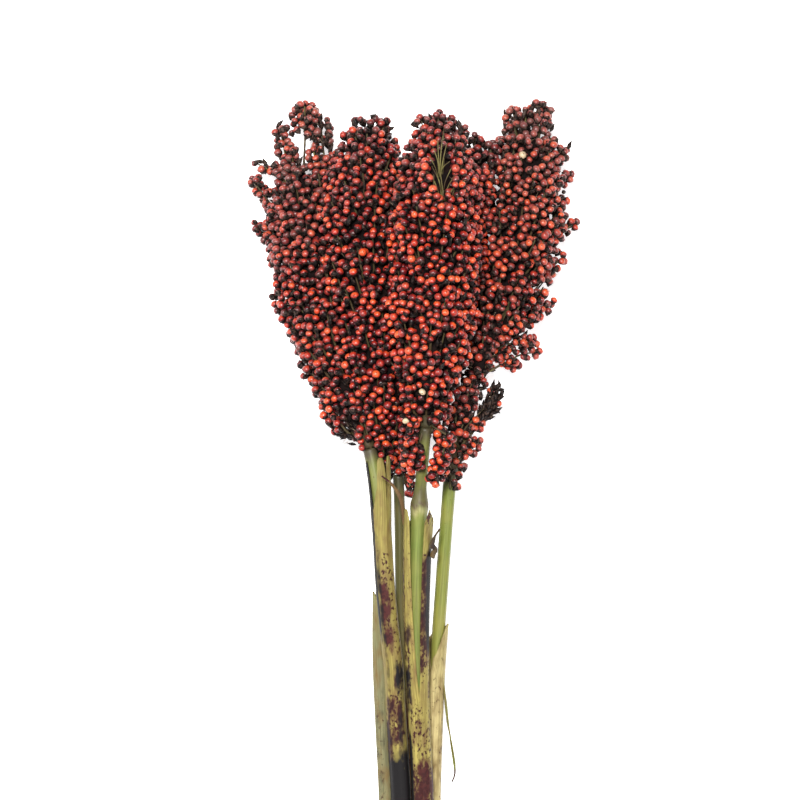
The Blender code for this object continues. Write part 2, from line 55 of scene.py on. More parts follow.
CAMERA_HEIGHT = 2000.0
PAPER_HALF = 4


def add_node(tree, kind, output, inputs, **settings):
    """Adds a node and gives one of its outputs. An input takes a value, or the output of another node."""
    node = tree.nodes.new(kind)
    for name, value in settings.items():
        setattr(node, name, value)
    feed(tree, node, inputs)
    return node.outputs[output]


def feed(tree, node, inputs):
    for name, value in inputs.items():
        socket = node.inputs[name]
        if isinstance(value, bpy.types.NodeSocket):
            tree.links.new(value, socket)
        else:
            socket.default_value = (*value, 1) if socket.type == "RGBA" else value


class Finish:
    """A material that is put together from a few kinds of pattern."""

    def __init__(self, name, roughness, specular=0.5):
        self.material = bpy.data.materials.new(name)
        self.material.use_nodes = True
        self.tree = self.material.node_tree
        self.shader = self.tree.nodes["Principled BSDF"]
        feed(self.tree, self.shader, {"Roughness": roughness, "Specular IOR Level": specular})

    def node(self, kind, output, inputs, **settings):
        return add_node(self.tree, "ShaderNode" + kind, output, inputs, **settings)

    def attribute(self, name, output="Color"):
        return self.node("Attribute", output, {}, attribute_name=name)

    def place(self, stretch=(1, 1, 1)):
        """Where a point is on the object, in metres."""
        where = self.node("TexCoord", "Object", {})
        return self.node("Mapping", "Vector", {"Vector": where, "Scale": stretch})

    def around(self, stretch):
        """Where a point is on the piece's own map, which runs round it and along it."""
        where = self.node("UVMap", "UV", {}, uv_map="around")
        return self.node("Mapping", "Vector", {"Vector": where, "Scale": stretch})

    def noise(self, where, scale, detail=2):
        return self.node("TexNoise", "Fac", {"Vector": where, "Scale": scale, "Detail": detail})

    def ranged(self, value, low, high, to_low=0, to_high=1):
        """Takes a value from one range to another, and no further."""
        ends = {"From Min": low, "From Max": high, "To Min": to_low, "To Max": to_high}
        return self.node("MapRange", "Result", {"Value": value, **ends})

    def mixed(self, under, over, share, blend="MIX"):
        inputs = {"Factor": share, "A": under, "B": over}
        return self.node("Mix", "Result", inputs, data_type="RGBA", blend_type=blend)

    def maths(self, operation, *values):
        return self.node("Math", "Value", dict(enumerate(values)), operation=operation)

    def split(self, kind, value):
        """The three parts of a colour or a vector."""
        first = self.node(kind, 0, {0: value})
        return first.node.outputs

    def ramp(self, value, steps):
        """The colour for a value, between steps of (position, colour)."""
        colour = self.node("ValToRGB", "Color", {"Fac": value})
        elements = colour.node.color_ramp.elements
        elements[0].position, elements[1].position = steps[0][0], steps[-1][0]
        for position, _ in steps[1:-1]:
            elements.new(position)
        for element, (_, tone) in zip(elements, steps):
            element.color = (*tone, 1)
        return colour

    def bump(self, height, distance, strength=1.0):
        inputs = {"Height": height, "Distance": distance, "Strength": strength}
        feed(self.tree, self.shader, {"Normal": self.node("Bump", "Normal", inputs)})

    def coloured(self, colour):
        """Gives the shader its colour, and the finished material back."""
        feed(self.tree, self.shader, {"Base Color": colour})
        return self.material


def white_paper():
    finish = Finish("white paper", 0.9, 0.1)
    feed(finish.tree, finish.shader, {"Emission Color": (1, 1, 1), "Emission Strength": 0.5})
    fibre = finish.noise(finish.place(), 300)
    return finish.coloured(finish.ranged(fibre, 0, 1, 0.93, 0.96))


def mesh_object(name, points, faces, finish=None, uvs=None):
    """A mesh object at the origin, from points in metres. Its UV map is called around."""
    mesh = bpy.data.meshes.new(name)
    mesh.from_pydata(points, [], faces)
    if uvs:
        mesh.uv_layers.new(name="around").data.foreach_set("uv", np.array(uvs, np.float32).ravel())
    if finish:
        mesh.materials.append(finish)
    made = bpy.data.objects.new(name, mesh)
    bpy.context.scene.collection.objects.link(made)
    return made


corners = [(-PAPER_HALF, -PAPER_HALF, 0), (PAPER_HALF, -PAPER_HALF, 0), (PAPER_HALF, PAPER_HALF, 0),
           (-PAPER_HALF, PAPER_HALF, 0)]
paper = mesh_object("paper", corners, [(0, 1, 2, 3)], white_paper())

lamps = {
    "lamp_over": ((-0.12, 0.4, 1.55), (0, 0.02, 0), 0.35, 46.0),
    "lamp_left": ((-1.2, 0.0, 1.1), (0, 0.05, 0.04), 0.7, 14.0),
    "lamp_right": ((0.9, -0.5, 1.3), (0, 0, 0.03), 0.9, 12.0),
}
for lamp_name, (spot, target, size, watts) in lamps.items():
    lamp = bpy.data.lights.new(lamp_name, "AREA")
    lamp.shape = "DISK"
    lamp.size = size
    lamp.energy = watts
    lamp_object = bpy.data.objects.new(lamp_name, lamp)
    lamp_object.location = spot
    lamp_object.rotation_euler = (Vector(target) - Vector(spot)).to_track_quat("-Z", "Y").to_euler()
    bpy.context.scene.collection.objects.link(lamp_object)

sky = bpy.data.worlds.new("room")
sky.use_nodes = True
sky.node_tree.nodes["Background"].inputs["Color"].default_value = (1, 1, 1, 1)
sky.node_tree.nodes["Background"].inputs["Strength"].default_value = 0.32
bpy.context.scene.world = sky
bpy.context.scene.view_settings.view_transform = "Standard"

camera = bpy.data.objects.new("camera", bpy.data.cameras.new("camera"))
camera.location = (*(PICTURE_CENTRE + PLACE[:2]) * MM, CAMERA_HEIGHT * MM)
camera.data.sensor_width = 36
camera.data.lens = 36 * (CAMERA_HEIGHT - SHARP_HEIGHT) / PICTURE_WIDTH
camera.data.clip_end = 20
bpy.context.scene.collection.objects.link(camera)
bpy.context.scene.camera = camera


# Stalks: the round solid stems of the plants, green and waxy, with fine grooves along them. Each one
# carries a head. They are cut square at the foot, and the front one has a paler collar under its head.
STEM_LINES = {
    "left": [(-5.2, -72, 15.4), (-5.6, -38, 18.9), (-6.1, 0, 22.0), (-8.4, 39, 26.0), (-10.6, 78, 30.5),
             (-14.4, 112, 34.5), (-17.2, 156, 38.5), (-20.0, 180, 39.6), (-23.8, 197, 39.4)],
    "middle_left": [(-13.3, -72, 8.1), (-14.0, -38, 11.8), (-14.5, 0, 15.5), (-16.4, 39, 18.4),
                    (-18.0, 78, 20.8), (-17.6, 112, 23.4), (-16.4, 156, 27.0), (-16.2, 184, 30.5)],
    "middle_right": [(-1.3, -72, 5.3), (-1.9, -38, 8.6), (-2.2, 0, 11.6), (-3.4, 39, 14.6),
                     (-5.0, 78, 17.8), (-6.2, 112, 20.6), (-6.8, 156, 24.2), (-7.6, 182, 26.2)],
    "front": [(7.4, -72, 18.2), (6.6, -38, 22.2), (6.2, 0, 26.0), (4.4, 39, 30.0), (3.0, 78, 34.4),
              (2.6, 112, 38.6), (3.3, 150, 44.2), (4.1, 164, 46.4), (6.7, 200, 53), (7.5, 209, 55)],
    "right": [(12.2, -72, 7.2), (11.6, -38, 11.2), (11.4, 0, 15.0), (12.6, 39, 18.4), (14.2, 78, 22.0),
              (16.4, 112, 25.0), (19.6, 156, 29.0), (21.9, 184, 31.4)],
}
HEAD_LINES = {
    "left": [(-37.5, 235, 34.5), (-50, 280, 27), (-60.5, 325, 22.2), (-63.5, 358, 21), (-60.5, 395, 22.5)],
    "middle_left": [(-18, 224, 38), (-21.3, 280, 42), (-24.6, 336, 42), (-24.2, 390, 40)],
    "middle_right": [(1.6, 224, 25.5), (15.7, 280, 24), (27.5, 330, 24), (38, 375, 25)],
    "front": [(9.0, 235, 60), (11.2, 280, 66), (13.4, 325, 69), (15.4, 390, 69)],
    "right": [(31, 224, 31.5), (45.5, 263, 27), (57, 302, 24), (64.4, 342, 22.5), (66.0, 397, 23)],
}
STALK_RADII = {"left": (4.2, 3.9), "middle_left": (3.0, 2.9), "middle_right": (3.3, 3.1), "front": (4.8, 4.5),
               "right": (3.6, 3.7)}
STALK_TONES = {
    "left": (0.115, 0.135, 0.03), "middle_left": (0.10, 0.11, 0.03), "middle_right": (0.068, 0.062, 0.018),
    "front": (0.115, 0.145, 0.03), "right": (0.125, 0.145, 0.026)}
FRONT_AXIS_RADIUS = 3.3
COLLAR_Y, COLLAR_SWELL, COLLAR_WIDTH = 165.0, 0.6, 5.0
CUT_END_Y = -72.0
STALK_SIDES = 24
STALK_STEP = 1.6
AXIS_TONE = (0.035, 0.032, 0.014)
TOP_SHADE_LENGTH = 11.0
RAGGED_EDGE = 1.1


def run_along(path):
    """How far along a path each of its points is."""
    return np.concatenate([[0], np.cumsum(np.linalg.norm(np.diff(path, axis=0), axis=1))])


def smooth_path(points, count):
    """Evenly spaced points on the smooth curve through the given ones."""
    p = np.array(points, float)
    p = np.vstack([2 * p[0] - p[1], p, 2 * p[-1] - p[-2]])
    t = np.linspace(0, 1, 24, endpoint=False)[:, None]
    fine = []
    for a, b, c, d in zip(p, p[1:], p[2:], p[3:]):
        fine.append(0.5 * (2 * b + (c - a) * t + (2 * a - 5 * b + 4 * c - d) * t**2
                           + (3 * b - a - 3 * c + d) * t**3))
    fine = np.vstack([*fine, p[-2][None]])
    along = run_along(fine)
    wanted = np.linspace(0, along[-1], count)
    return np.stack([np.interp(wanted, along, fine[:, k]) for k in range(3)], axis=1)


def at(path, y):
    """The point of a path where it passes a given Y."""
    return np.array([np.interp(y, path[:, 1], path[:, k]) for k in range(3)])


def frames_along(path):
    """Unit vectors (along, right, up) at each point of a path."""
    along = np.gradient(path, axis=0)
    along /= np.linalg.norm(along, axis=1)[:, None]
    up = np.array([0, 0, 1.0]) - along[:, 2:3] * along
    up /= np.maximum(np.linalg.norm(up, axis=1), 1e-6)[:, None]
    return along, np.cross(along, up), up


def stem_path(name, low_y, high_y, count):
    """The part of a plant's line between two heights."""
    whole = smooth_path([*STEM_LINES[name], HEAD_LINES[name][0]], 400)
    return smooth_path([at(whole, y) for y in np.linspace(low_y, high_y, 12)], count)


def rings_round(path, radii, sides):
    """A tube's rings of points round a path."""
    along, right, up = frames_along(path)
    angle = np.linspace(0, 2 * math.pi, sides, endpoint=False)
    spokes = right[:, None] * np.cos(angle)[None, :, None] + up[:, None] * np.sin(angle)[None, :, None]
    return path[:, None] + spokes * np.asarray(radii)[:, None, None]


def skin(name, sheets, finish):
    """One mesh object from several grids of points, each a tube of rings with flat ends.
    Its UV map runs once round a tube, and along it in centimetres."""
    points, faces, uvs = [], [], []
    for rings in sheets:
        base = sum(len(p) for p in points)
        rows, sides, _ = rings.shape
        points.append(rings.reshape(-1, 3))
        run = run_along(rings[:, 0]) / 10
        for i in range(rows - 1):
            for k in range(sides):
                a, b = base + i * sides + k, base + i * sides + (k + 1) % sides
                faces.append((a, b, b + sides, a + sides))
                left, right = k / sides, (k + 1) / sides
                uvs += [(left, run[i]), (right, run[i]), (right, run[i + 1]), (left, run[i + 1])]
        for row, order in ((0, -1), (rows - 1, 1)):
            rim = [base + row * sides + k for k in range(sides)][::order]
            faces.append(tuple(rim))
            uvs += [(k / sides, run[row]) for k in range(sides)][::order]
    made = mesh_object(name, (np.vstack(points) + PLACE) * MM, faces, finish, uvs)
    made.data.shade_smooth()
    return made


def stalk_radius(name, y):
    """Radius of a stalk at a height. Over its collar the front one narrows to the axis of the head."""
    low_radius, high_radius = STALK_RADII[name]
    radius = low_radius + (high_radius - low_radius) * (y - CUT_END_Y) / (STEM_LINES[name][-1][1] - CUT_END_Y)
    if name == "front":
        over = min(1.0, max(0.0, (y - COLLAR_Y) / COLLAR_WIDTH / 2))
        radius += (FRONT_AXIS_RADIUS - radius) * over
        radius += COLLAR_SWELL * math.exp(-((y - COLLAR_Y) / COLLAR_WIDTH) ** 2)
    return radius


def green_stalk():
    """Waxy green rind with fine lighter grooves, yellower in patches, with a few dark specks."""
    finish = Finish("green stalk", 0.45, 0.25)
    tone = finish.attribute("tone")
    grooves = finish.noise(finish.around((34, 0.35, 1)), 1, 3)
    patches = finish.noise(finish.place(), 42, 3)
    specks = finish.noise(finish.place(), 600)
    yellow = finish.mixed(tone, (1.6, 1.25, 1.6), 1, "MULTIPLY")
    colour = finish.mixed(tone, yellow, finish.ranged(patches, 0.42, 0.72))
    colour = finish.mixed(colour, finish.ranged(grooves, 0.3, 0.7, 0.78, 1.2), 1, "MULTIPLY")
    colour = finish.mixed(colour, (0.05, 0.025, 0.012), finish.ranged(specks, 0.69, 0.75, 0, 0.7))
    finish.bump(grooves, 0.00012, 0.7)
    return finish.coloured(colour)


def paint(piece, label, values):
    """Stores a colour at each point of a piece."""
    layer = piece.data.color_attributes.new(label, "FLOAT_COLOR", "POINT")
    flat = np.ones((len(values), 4), np.float32)
    flat[:, :3] = values
    layer.data.foreach_set("color", flat.ravel())


def blended(tones, colour, share):
    """Colours mixed with another one, by a share for each."""
    share = np.asarray(share)[..., None]
    return tones * (1 - share) + np.array(colour) * share


def stalk_tones(name, heights):
    """The rind's colour down a stalk: yellower near the foot, paler on the collar, and dark at the head,
    where it fades to the axis's tone as painted shade under the grains.
    """
    tones = np.ones((len(heights), 3)) * np.array(STALK_TONES[name])
    tones = blended(tones, (0.17, 0.14, 0.05), 0.5 * np.clip((60 - heights) / 60, 0, 1))
    if name == "front":
        over = heights - COLLAR_Y
        tones = blended(tones, (0.27, 0.26, 0.12), 0.5 * np.exp(-((over + 2.5) / 2.2) ** 2))
        tones = blended(tones, (0.100, 0.108, 0.024), np.clip(over / 4, 0, 1))
        tones = blended(tones, (0.052, 0.036, 0.016), 0.72 * np.exp(-((over - 6) / 6) ** 2))
        tones = blended(tones, (0.05, 0.025, 0.016), 0.8 * np.exp(-((over - 1.0) / 1.6) ** 2))
    # Over its last few millimetres the stalk fades to the axis's dark tone: painted shade under the head.
    from_top = heights - STEM_LINES[name][-1][1]
    return blended(tones, AXIS_TONE, np.clip((from_top + TOP_SHADE_LENGTH) / TOP_SHADE_LENGTH * 1.4, 0, 1))


stalk_finish = green_stalk()
for name in STEM_LINES:
    top = STEM_LINES[name][-1][1] - 0.3
    path = stem_path(name, CUT_END_Y, top, int((top - CUT_END_Y) / STALK_STEP))
    radii = [stalk_radius(name, y) for y in path[:, 1]]
    stalk = skin("stalk_" + name + "_rind", [rings_round(path, radii, STALK_SIDES)], stalk_finish)
    around = np.tile(np.linspace(0, 2 * math.pi, STALK_SIDES, endpoint=False), len(path))
    ragged = RAGGED_EDGE * (np.sin(3 * around + 1) + 0.7 * np.sin(7 * around))
    paint(stalk, "tone", stalk_tones(name, np.repeat(path[:, 1], STALK_SIDES) + ragged))
    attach(stalk, "root")
    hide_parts("stalk_" + name)


# Leaf sheaths: the rolled lower part of a leaf wraps each stalk and gapes at its top. They have dried to
# a ribbed straw colour with maroon stains. The front one is split in a long V, and all are torn at the top.
SHEATH_CLEARANCE = 0.55
SHEATH_WALL = 0.9
SHEATH_COLUMNS = 56
SHEATH_ROWS = 90
MARGIN_OVERLAP = 9.0
# An angle round a sheath is in degrees, from +X (0) over the side that faces up (90) to -X (180). The slit
# faces one way at its foot and another at the top, and torn says how far down the edge is at some angles.
SHEATHS = {
    "left": {
        "top": 192, "slit_from": 150, "slit": 50, "facing": (200, 196), "gape": 1.4,
        "lean": 2.4, "flare": 1.6, "lift": 0.1,
        "torn": [(0, 9), (8, 2), (32, 0), (38, 4), (43, 34), (49, 8), (56, 1), (80, 0), (90, 3), (97, 16),
                 (112, 22), (128, 30), (140, 24), (144, 4), (152, 1), (172, 2), (240, 30), (300, 26),
                 (340, 22)]},
    "middle_left": {
        "top": 118, "slit_from": 80, "slit": 60, "facing": (20, 20), "gape": 0.4,
        "torn": [(20, 0), (90, 14), (120, 5), (170, 2), (215, 9), (300, 3)]},
    "middle_right": {
        "top": 92, "slit_from": 55, "slit": 60, "facing": (90, 90), "gape": 0.4,
        "torn": [(0, 2), (120, 6), (240, 3)]},
    "front": {
        "top": 164, "slit_from": 50, "slit": 62, "facing": (84, 97), "gape": 2.6,
        "torn": [(10, 9), (30, 5), (50, 0), (66, 7), (126, 8), (140, 0), (160, 1), (175, 9), (200, 5),
                 (260, 12), (320, 4)]},
    "right": {
        "top": 98, "slit_from": 70, "slit": 70, "facing": (120, 150), "gape": 0.4,
        "torn": [(0, 0), (35, 1), (70, 8), (100, 17), (130, 22), (200, 10), (280, 4)]},
}
STRAW = (0.235, 0.190, 0.050)
DULL_STRAW = (0.200, 0.160, 0.043)
PALE_STRAW = (0.36, 0.29, 0.13)
GREEN_STRAW = (0.15, 0.155, 0.04)
OLIVE = (0.078, 0.060, 0.022)
BROWN_OLIVE = (0.145, 0.135, 0.066)
SHEATH_TONES = {"left": DULL_STRAW, "middle_left": BROWN_OLIVE, "middle_right": OLIVE, "front": STRAW,
                "right": PALE_STRAW}
# Each stain: low Y, high Y, the angle that it faces, its spread in degrees, then how thick the maroon
# specks, the maroon blots and the black are, from 0 to 1.
STAINS = {
    "left": [(96, 146, 80, 62, 0.43, 0.0, 0.0), (80, 128, 100, 34, 0.46, 0.62, 0.0),
             (60, 118, 40, 40, 0.42, 0.30, 0.0), (52, 82, 52, 34, 0.44, 0.46, 0.62),
             (58, 74, 70, 34, 0.42, 0.52, 0.45), (24, 64, 92, 54, 0.49, 0.52, 0.06),
             (26, 52, 60, 26, 0.46, 0.4, 0.54), (26, 60, 118, 26, 0.45, 0.56, 0.40),
             (-80, 27, 80, 240, 0.4, 0.6, 0.92), (-80, 66, 150, 34, 0.45, 0.62, 0.5),
             (92, 196, 158, 15, 0.2, 0.2, 0.92), (60, 150, 128, 16, 0.3, 0.2, 0.52)],
    "middle_left": [(-80, 70, 120, 50, 0.33, 0.2, 0.3), (0, 118, 170, 40, 0.3, 0.3, 0.2)],
    "middle_right": [(-80, 95, 90, 240, 0.40, 0.42, 0.36)],
    "front": [(92, 150, 172, 26, 0.44, 0.46, 0.36), (56, 104, 160, 40, 0.47, 0.50, 0.46),
              (44, 78, 152, 30, 0.45, 0.50, 0.66), (-80, 44, 165, 24, 0.3, 0.4, 0.93),
              (-80, 28, 60, 130, 0.53, 0.56, 0.16), (16, 52, 60, 60, 0.43, 0.36, 0.0),
              (62, 146, 58, 30, 0.50, 0.56, 0.40), (84, 146, 14, 32, 0.40, 0.4, 0.92),
              (30, 90, 10, 30, 0.42, 0.42, 0.3), (150, 170, 40, 40, 0.45, 0.42, 0.1),
              (60, 160, 118, 20, 0.36, 0.2, 0.2), (20, 60, 110, 50, 0.43, 0.38, 0.1)],
    "right": [(-80, 50, 140, 40, 0.42, 0.55, 0.45), (-80, 60, 20, 30, 0.36, 0.3, 0.2),
              (20, 98, 60, 90, 0.30, 0.22, 0.0)],
}


def wave(x, seed):
    """A smooth irregular wave between about -1 and 1, the same on each run."""
    return (np.sin(x * 1.7 + seed * 2.1) + np.sin(x * 3.9 + seed * 5.3) * 0.6
            + np.sin(x * 8.3 + seed * 1.3) * 0.4) / 2


def shell(name, outer, inner, finish):
    """A thin closed sheet between an outer and an inner grid of points."""
    rows, across, _ = outer.shape
    layer = rows * across
    points = np.vstack([outer.reshape(-1, 3), inner.reshape(-1, 3)])
    run = np.linspace(0, np.linalg.norm(outer[-1, 0] - outer[0, 0]) / 10, rows)
    faces, uvs = [], []

    def uv(index):
        return (index % layer % across) / (across - 1), run[index % layer // across]

    for i in range(rows - 1):
        for k in range(across - 1):
            a = i * across + k
            faces.append((a, a + across, a + across + 1, a + 1))
            faces.append((a + layer, a + layer + 1, a + layer + across + 1, a + layer + across))
        a = i * across
        faces.append((a, a + layer, a + layer + across, a + across))
        b = a + across - 1
        faces.append((b, b + across, b + layer + across, b + layer))
    for k in range(across - 1):
        faces.append((k, k + 1, k + layer + 1, k + layer))
        b = (rows - 1) * across + k
        faces.append((b, b + layer, b + layer + 1, b + 1))
    for face in faces:
        uvs += [uv(index) for index in face]
    made = mesh_object(name, (points + PLACE) * MM, faces, finish, uvs)
    made.data.shade_smooth()
    turned_out = bmesh.new()
    turned_out.from_mesh(made.data)
    bmesh.ops.recalc_face_normals(turned_out, faces=turned_out.faces[:])
    turned_out.to_mesh(made.data)
    turned_out.free()
    return made


def dry_leaf():
    """Papery straw with fine ribs along the leaf, and stains that follow the ribs. The tone gives the straw's
    own colour, and the stain how thick the maroon specks (red), maroon blots (green) and black (blue) are."""
    finish = Finish("dry leaf", 0.55, 0.15)
    ribs = finish.noise(finish.around((60, 0.25, 1)), 1, 3)
    mottle = finish.noise(finish.place((1, 0.35, 1)), 260, 4)
    blots = finish.noise(finish.place((1, 0.5, 1)), 190, 5)
    specks = finish.noise(finish.place((1, 0.7, 1)), 620, 2)
    speck_share, blot_share, black_share = finish.split("SeparateColor", finish.attribute("stain"))

    def stained(under, colour, amount, pattern, soft):
        """Lays a colour over another where the pattern is over one less the amount."""
        total = finish.maths("ADD", amount, pattern)
        return finish.mixed(under, colour, finish.ranged(total, 1 - soft, 1 + soft))

    colour = finish.mixed(finish.attribute("tone"), finish.ranged(ribs, 0.3, 0.7, 0.62, 1.25), 1, "MULTIPLY")
    colour = stained(colour, (0.125, 0.08, 0.028), 0.42, mottle, 0.16)
    colour = stained(colour, (0.045, 0.010, 0.009), blot_share, blots, 0.11)
    colour = stained(colour, (0.028, 0.006, 0.006), speck_share, specks, 0.07)
    colour = stained(colour, (0.006, 0.005, 0.0055), black_share, blots, 0.16)
    finish.bump(ribs, 0.0002, 0.8)
    return finish.coloured(colour)


def soft_step(value, low, high, blur):
    """1 between two values, falling to 0 over the blur at each end."""
    rise = np.clip((value - low) / blur + 0.5, 0, 1)
    fall = np.clip((high - value) / blur + 0.5, 0, 1)
    return rise * fall


leaf_finish = dry_leaf()
for name, sheath in SHEATHS.items():
    turn = np.linspace(0, 1, SHEATH_COLUMNS + 1)
    share = np.linspace(0, 1, SHEATH_ROWS)[:, None]
    seed = sum(map(ord, name)) % 17
    low_facing, high_facing = np.radians(sheath["facing"])
    top_gap = math.radians(sheath["slit"] / 2)
    top_angles = np.degrees(high_facing + top_gap + (2 * math.pi - 2 * top_gap) * turn) % 360
    drops = np.interp(top_angles, *np.array(sheath["torn"], float).T, period=360)
    drops += 0.7 * np.abs(wave(turn * 60, seed))
    height = CUT_END_Y + (sheath["top"] - drops[None] - CUT_END_Y) * share
    line = stem_path(name, CUT_END_Y, sheath["top"] + 2, 300)
    along, right, up = frames_along(line)

    def on_line(values):
        return np.stack([np.interp(height, line[:, 1], values[:, k]) for k in range(3)], axis=2)

    opened = np.clip((height - sheath["slit_from"]) / (sheath["top"] - sheath["slit_from"]), 0, 1)
    half_gap = top_gap * opened**0.8 - math.radians(MARGIN_OVERLAP) * (1 - np.clip(opened * 6, 0, 1))
    facing_there = low_facing + (high_facing - low_facing) * opened
    angle = facing_there + half_gap + (2 * math.pi - 2 * half_gap) * turn[None]
    spokes = on_line(right) * np.cos(angle)[..., None] + on_line(up) * np.sin(angle)[..., None]
    stalk_there = np.vectorize(stalk_radius)(name, height)
    margin = np.exp(-(np.minimum(turn, 1 - turn) / 0.05) ** 2)[None]
    radius = stalk_there + SHEATH_CLEARANCE + sheath["gape"] * opened
    radius += 0.10 * wave(turn * 30 + height * 0.01, seed)
    radius += np.exp(-(turn / 0.06) ** 2)[None] * (0.25 + (0.6 + 0.5 * wave(height * 0.07, seed)) * opened)
    last_lift = 0.9 * (1 - opened) + sheath.get("lift", 0.8) * opened
    radius += np.exp(-((1 - turn) / 0.06) ** 2)[None] * last_lift
    radius += sheath.get("flare", 0) * opened**2 * np.exp(-((np.degrees(angle) % 360 - 20) / 22) ** 2)
    centre = on_line(line)
    centre[..., 0] += sheath.get("lean", 0) * opened**1.3
    inner = centre + spokes * radius[..., None]
    outer = centre + spokes * (radius + SHEATH_WALL * (1 - 0.45 * margin))[..., None]
    piece = shell("sheath_" + name + "_leaf", outer, inner, leaf_finish)
    facing = np.degrees(angle)
    stains = np.zeros((*height.shape, 3))
    for low, high, side, spread, *thick in STAINS[name]:
        turned = np.abs((facing - side + 180) % 360 - 180)
        there = soft_step(height, low, high, 12 + 0.16 * (high - low)) * np.clip(1.6 - turned / spread, 0, 1)
        stains = np.maximum(stains, there[..., None] * np.array(thick))
    tones = np.ones((*height.shape, 3)) * np.array(SHEATH_TONES[name])
    tones = blended(tones, GREEN_STRAW, 0.4 * np.clip((height - sheath["top"] + 50) / 60, 0, 1))
    tones *= (1 + 0.12 * wave(turn * 40, seed))[None, :, None]
    paint(piece, "tone", np.vstack([tones.reshape(-1, 3)] * 2))
    paint(piece, "stain", np.vstack([stains.reshape(-1, 3)] * 2))
    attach(piece, "root")
    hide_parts("sheath_" + name)


# Torn ends of leaf: a long strip has peeled off the right-hand sheath and hangs beside it, and the dry
# top corner of the front sheath curls over to the left. Each is a ribbon of the same leaf.
TORN_STRIPS = {
    "torn_strip": {
        "line": [(17.9, 66, 22.0), (19.6, 52, 21.0), (20.9, 40, 18.6), (23.4, 24, 14.8), (24.6, 12, 11.6),
                 (22.9, 6, 9.6)],
        "width": 2.4, "thickness": 0.6, "side": (0.4, 0.3, 1), "tone": GREEN_STRAW, "dark_from": 0.84},
    "torn_corner": {
        "line": [(-3.6, 154, 46.2), (-4.6, 163, 48.8), (-6.6, 170, 52.0), (-11.6, 177, 53.6),
                 (-17.0, 181.5, 53.2)],
        "width": 3.0, "thickness": 0.6, "side": (1, 0.6, 0.3), "tone": (0.10, 0.055, 0.025),
        "dark_from": 0.8},
    "curled_knob": {
        "line": [(10.8, 136, 46.6), (12.0, 138.5, 47.2), (13.0, 140.5, 47.6), (11.4, 143, 48.6),
                 (12.2, 147, 48.4), (15.4, 152, 48.0)],
        "width": 3.0, "thickness": 0.8, "side": (0.8, 0.3, 0.7), "tone": (0.022, 0.015, 0.012),
        "dark_from": 0.9},
}
for name, strip in TORN_STRIPS.items():
    path = smooth_path(strip["line"], 44)
    share = np.linspace(0, 1, len(path))
    along = np.gradient(path, axis=0)
    along /= np.linalg.norm(along, axis=1)[:, None]
    side = np.array(strip["side"], float)
    cross = side - (along @ side)[:, None] * along
    cross /= np.linalg.norm(cross, axis=1)[:, None]
    face = np.cross(along, cross)
    twist = 0.9 * np.sin(share * 5)[:, None]
    cross, face = cross * np.cos(twist) + face * np.sin(twist), face * np.cos(twist) - cross * np.sin(twist)
    half = strip["width"] / 2 * (1 - 0.75 * share**2) * (1 + 0.1 * wave(share * 20, 3))
    columns = np.linspace(-1, 1, 9)
    middle = path[:, None] + cross[:, None] * (half[:, None] * columns[None])[..., None]
    middle = middle + face[:, None] * (0.35 * half[:, None] * (columns**2)[None])[..., None]
    lift = face[:, None] * strip["thickness"] / 2
    piece = shell(name, middle + lift, middle - lift, leaf_finish)
    dark = np.clip((share - strip["dark_from"]) * 12, 0, 1)[:, None] * np.ones(len(columns))
    stains = np.stack([dark * 0.4, dark, dark * 0], axis=2).reshape(-1, 3)
    paint(piece, "tone", np.ones((len(stains) * 2, 3)) * np.array(strip["tone"]))
    paint(piece, "stain", np.vstack([stains, stains]))
    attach(piece, "root")


# The tie: jute twine of three strands, wound three turns tight round the stems under the picture's edge,
# and knotted on top.
TIE_Y, TIE_PITCH, TIE_TURNS = -38.0, 2.4, 3
TIE_CLEARANCE = 0.5
TWINE_RADIUS = 1.05
STRAND_RADIUS, STRAND_SIDES, STRAND_TWIST = 0.62, 7, 5.2
BAND_POINTS = 90
KNOT_POINTS = 90
# The route of the knot and its two ends, from the top of the band.
KNOT_STEPS = [(-16, -12, 1.5), (-9, -7, 1.6), (-2, -2.5, 2.6), (3.2, 0.5, 2.4), (2.6, 3.6, 1.8),
              (-1.2, 3.2, 3.2), (-2.6, -0.4, 3.4), (1.2, -3.4, 2.2), (8, -6, 0.6), (12.5, -14, -1.4)]


def band_point(angle):
    """Where a taut band round the sheaths runs on one side of them, as X and Z."""
    best = None
    for name in SHEATHS:
        centre = at(stem_path(name, CUT_END_Y, 60, 60), TIE_Y)
        radius = stalk_radius(name, TIE_Y) + SHEATH_CLEARANCE + SHEATH_WALL + TIE_CLEARANCE
        reach = centre[0] * math.cos(angle) + centre[2] * math.sin(angle) + radius
        if best is None or reach > best[0]:
            best = (reach, centre[0] + radius * math.cos(angle), centre[2] + radius * math.sin(angle))
    return best[1], best[2]


def twine_finish():
    """Dull tan plant fibre, hairy and streaked along the strands."""
    finish = Finish("twine", 0.9)
    fibres = finish.noise(finish.around((9, 3, 1)), 2)
    finish.bump(fibres, 0.0003)
    return finish.coloured(finish.ramp(fibres, [(0.3, (0.26, 0.16, 0.07)), (0.7, (0.62, 0.45, 0.25))]))


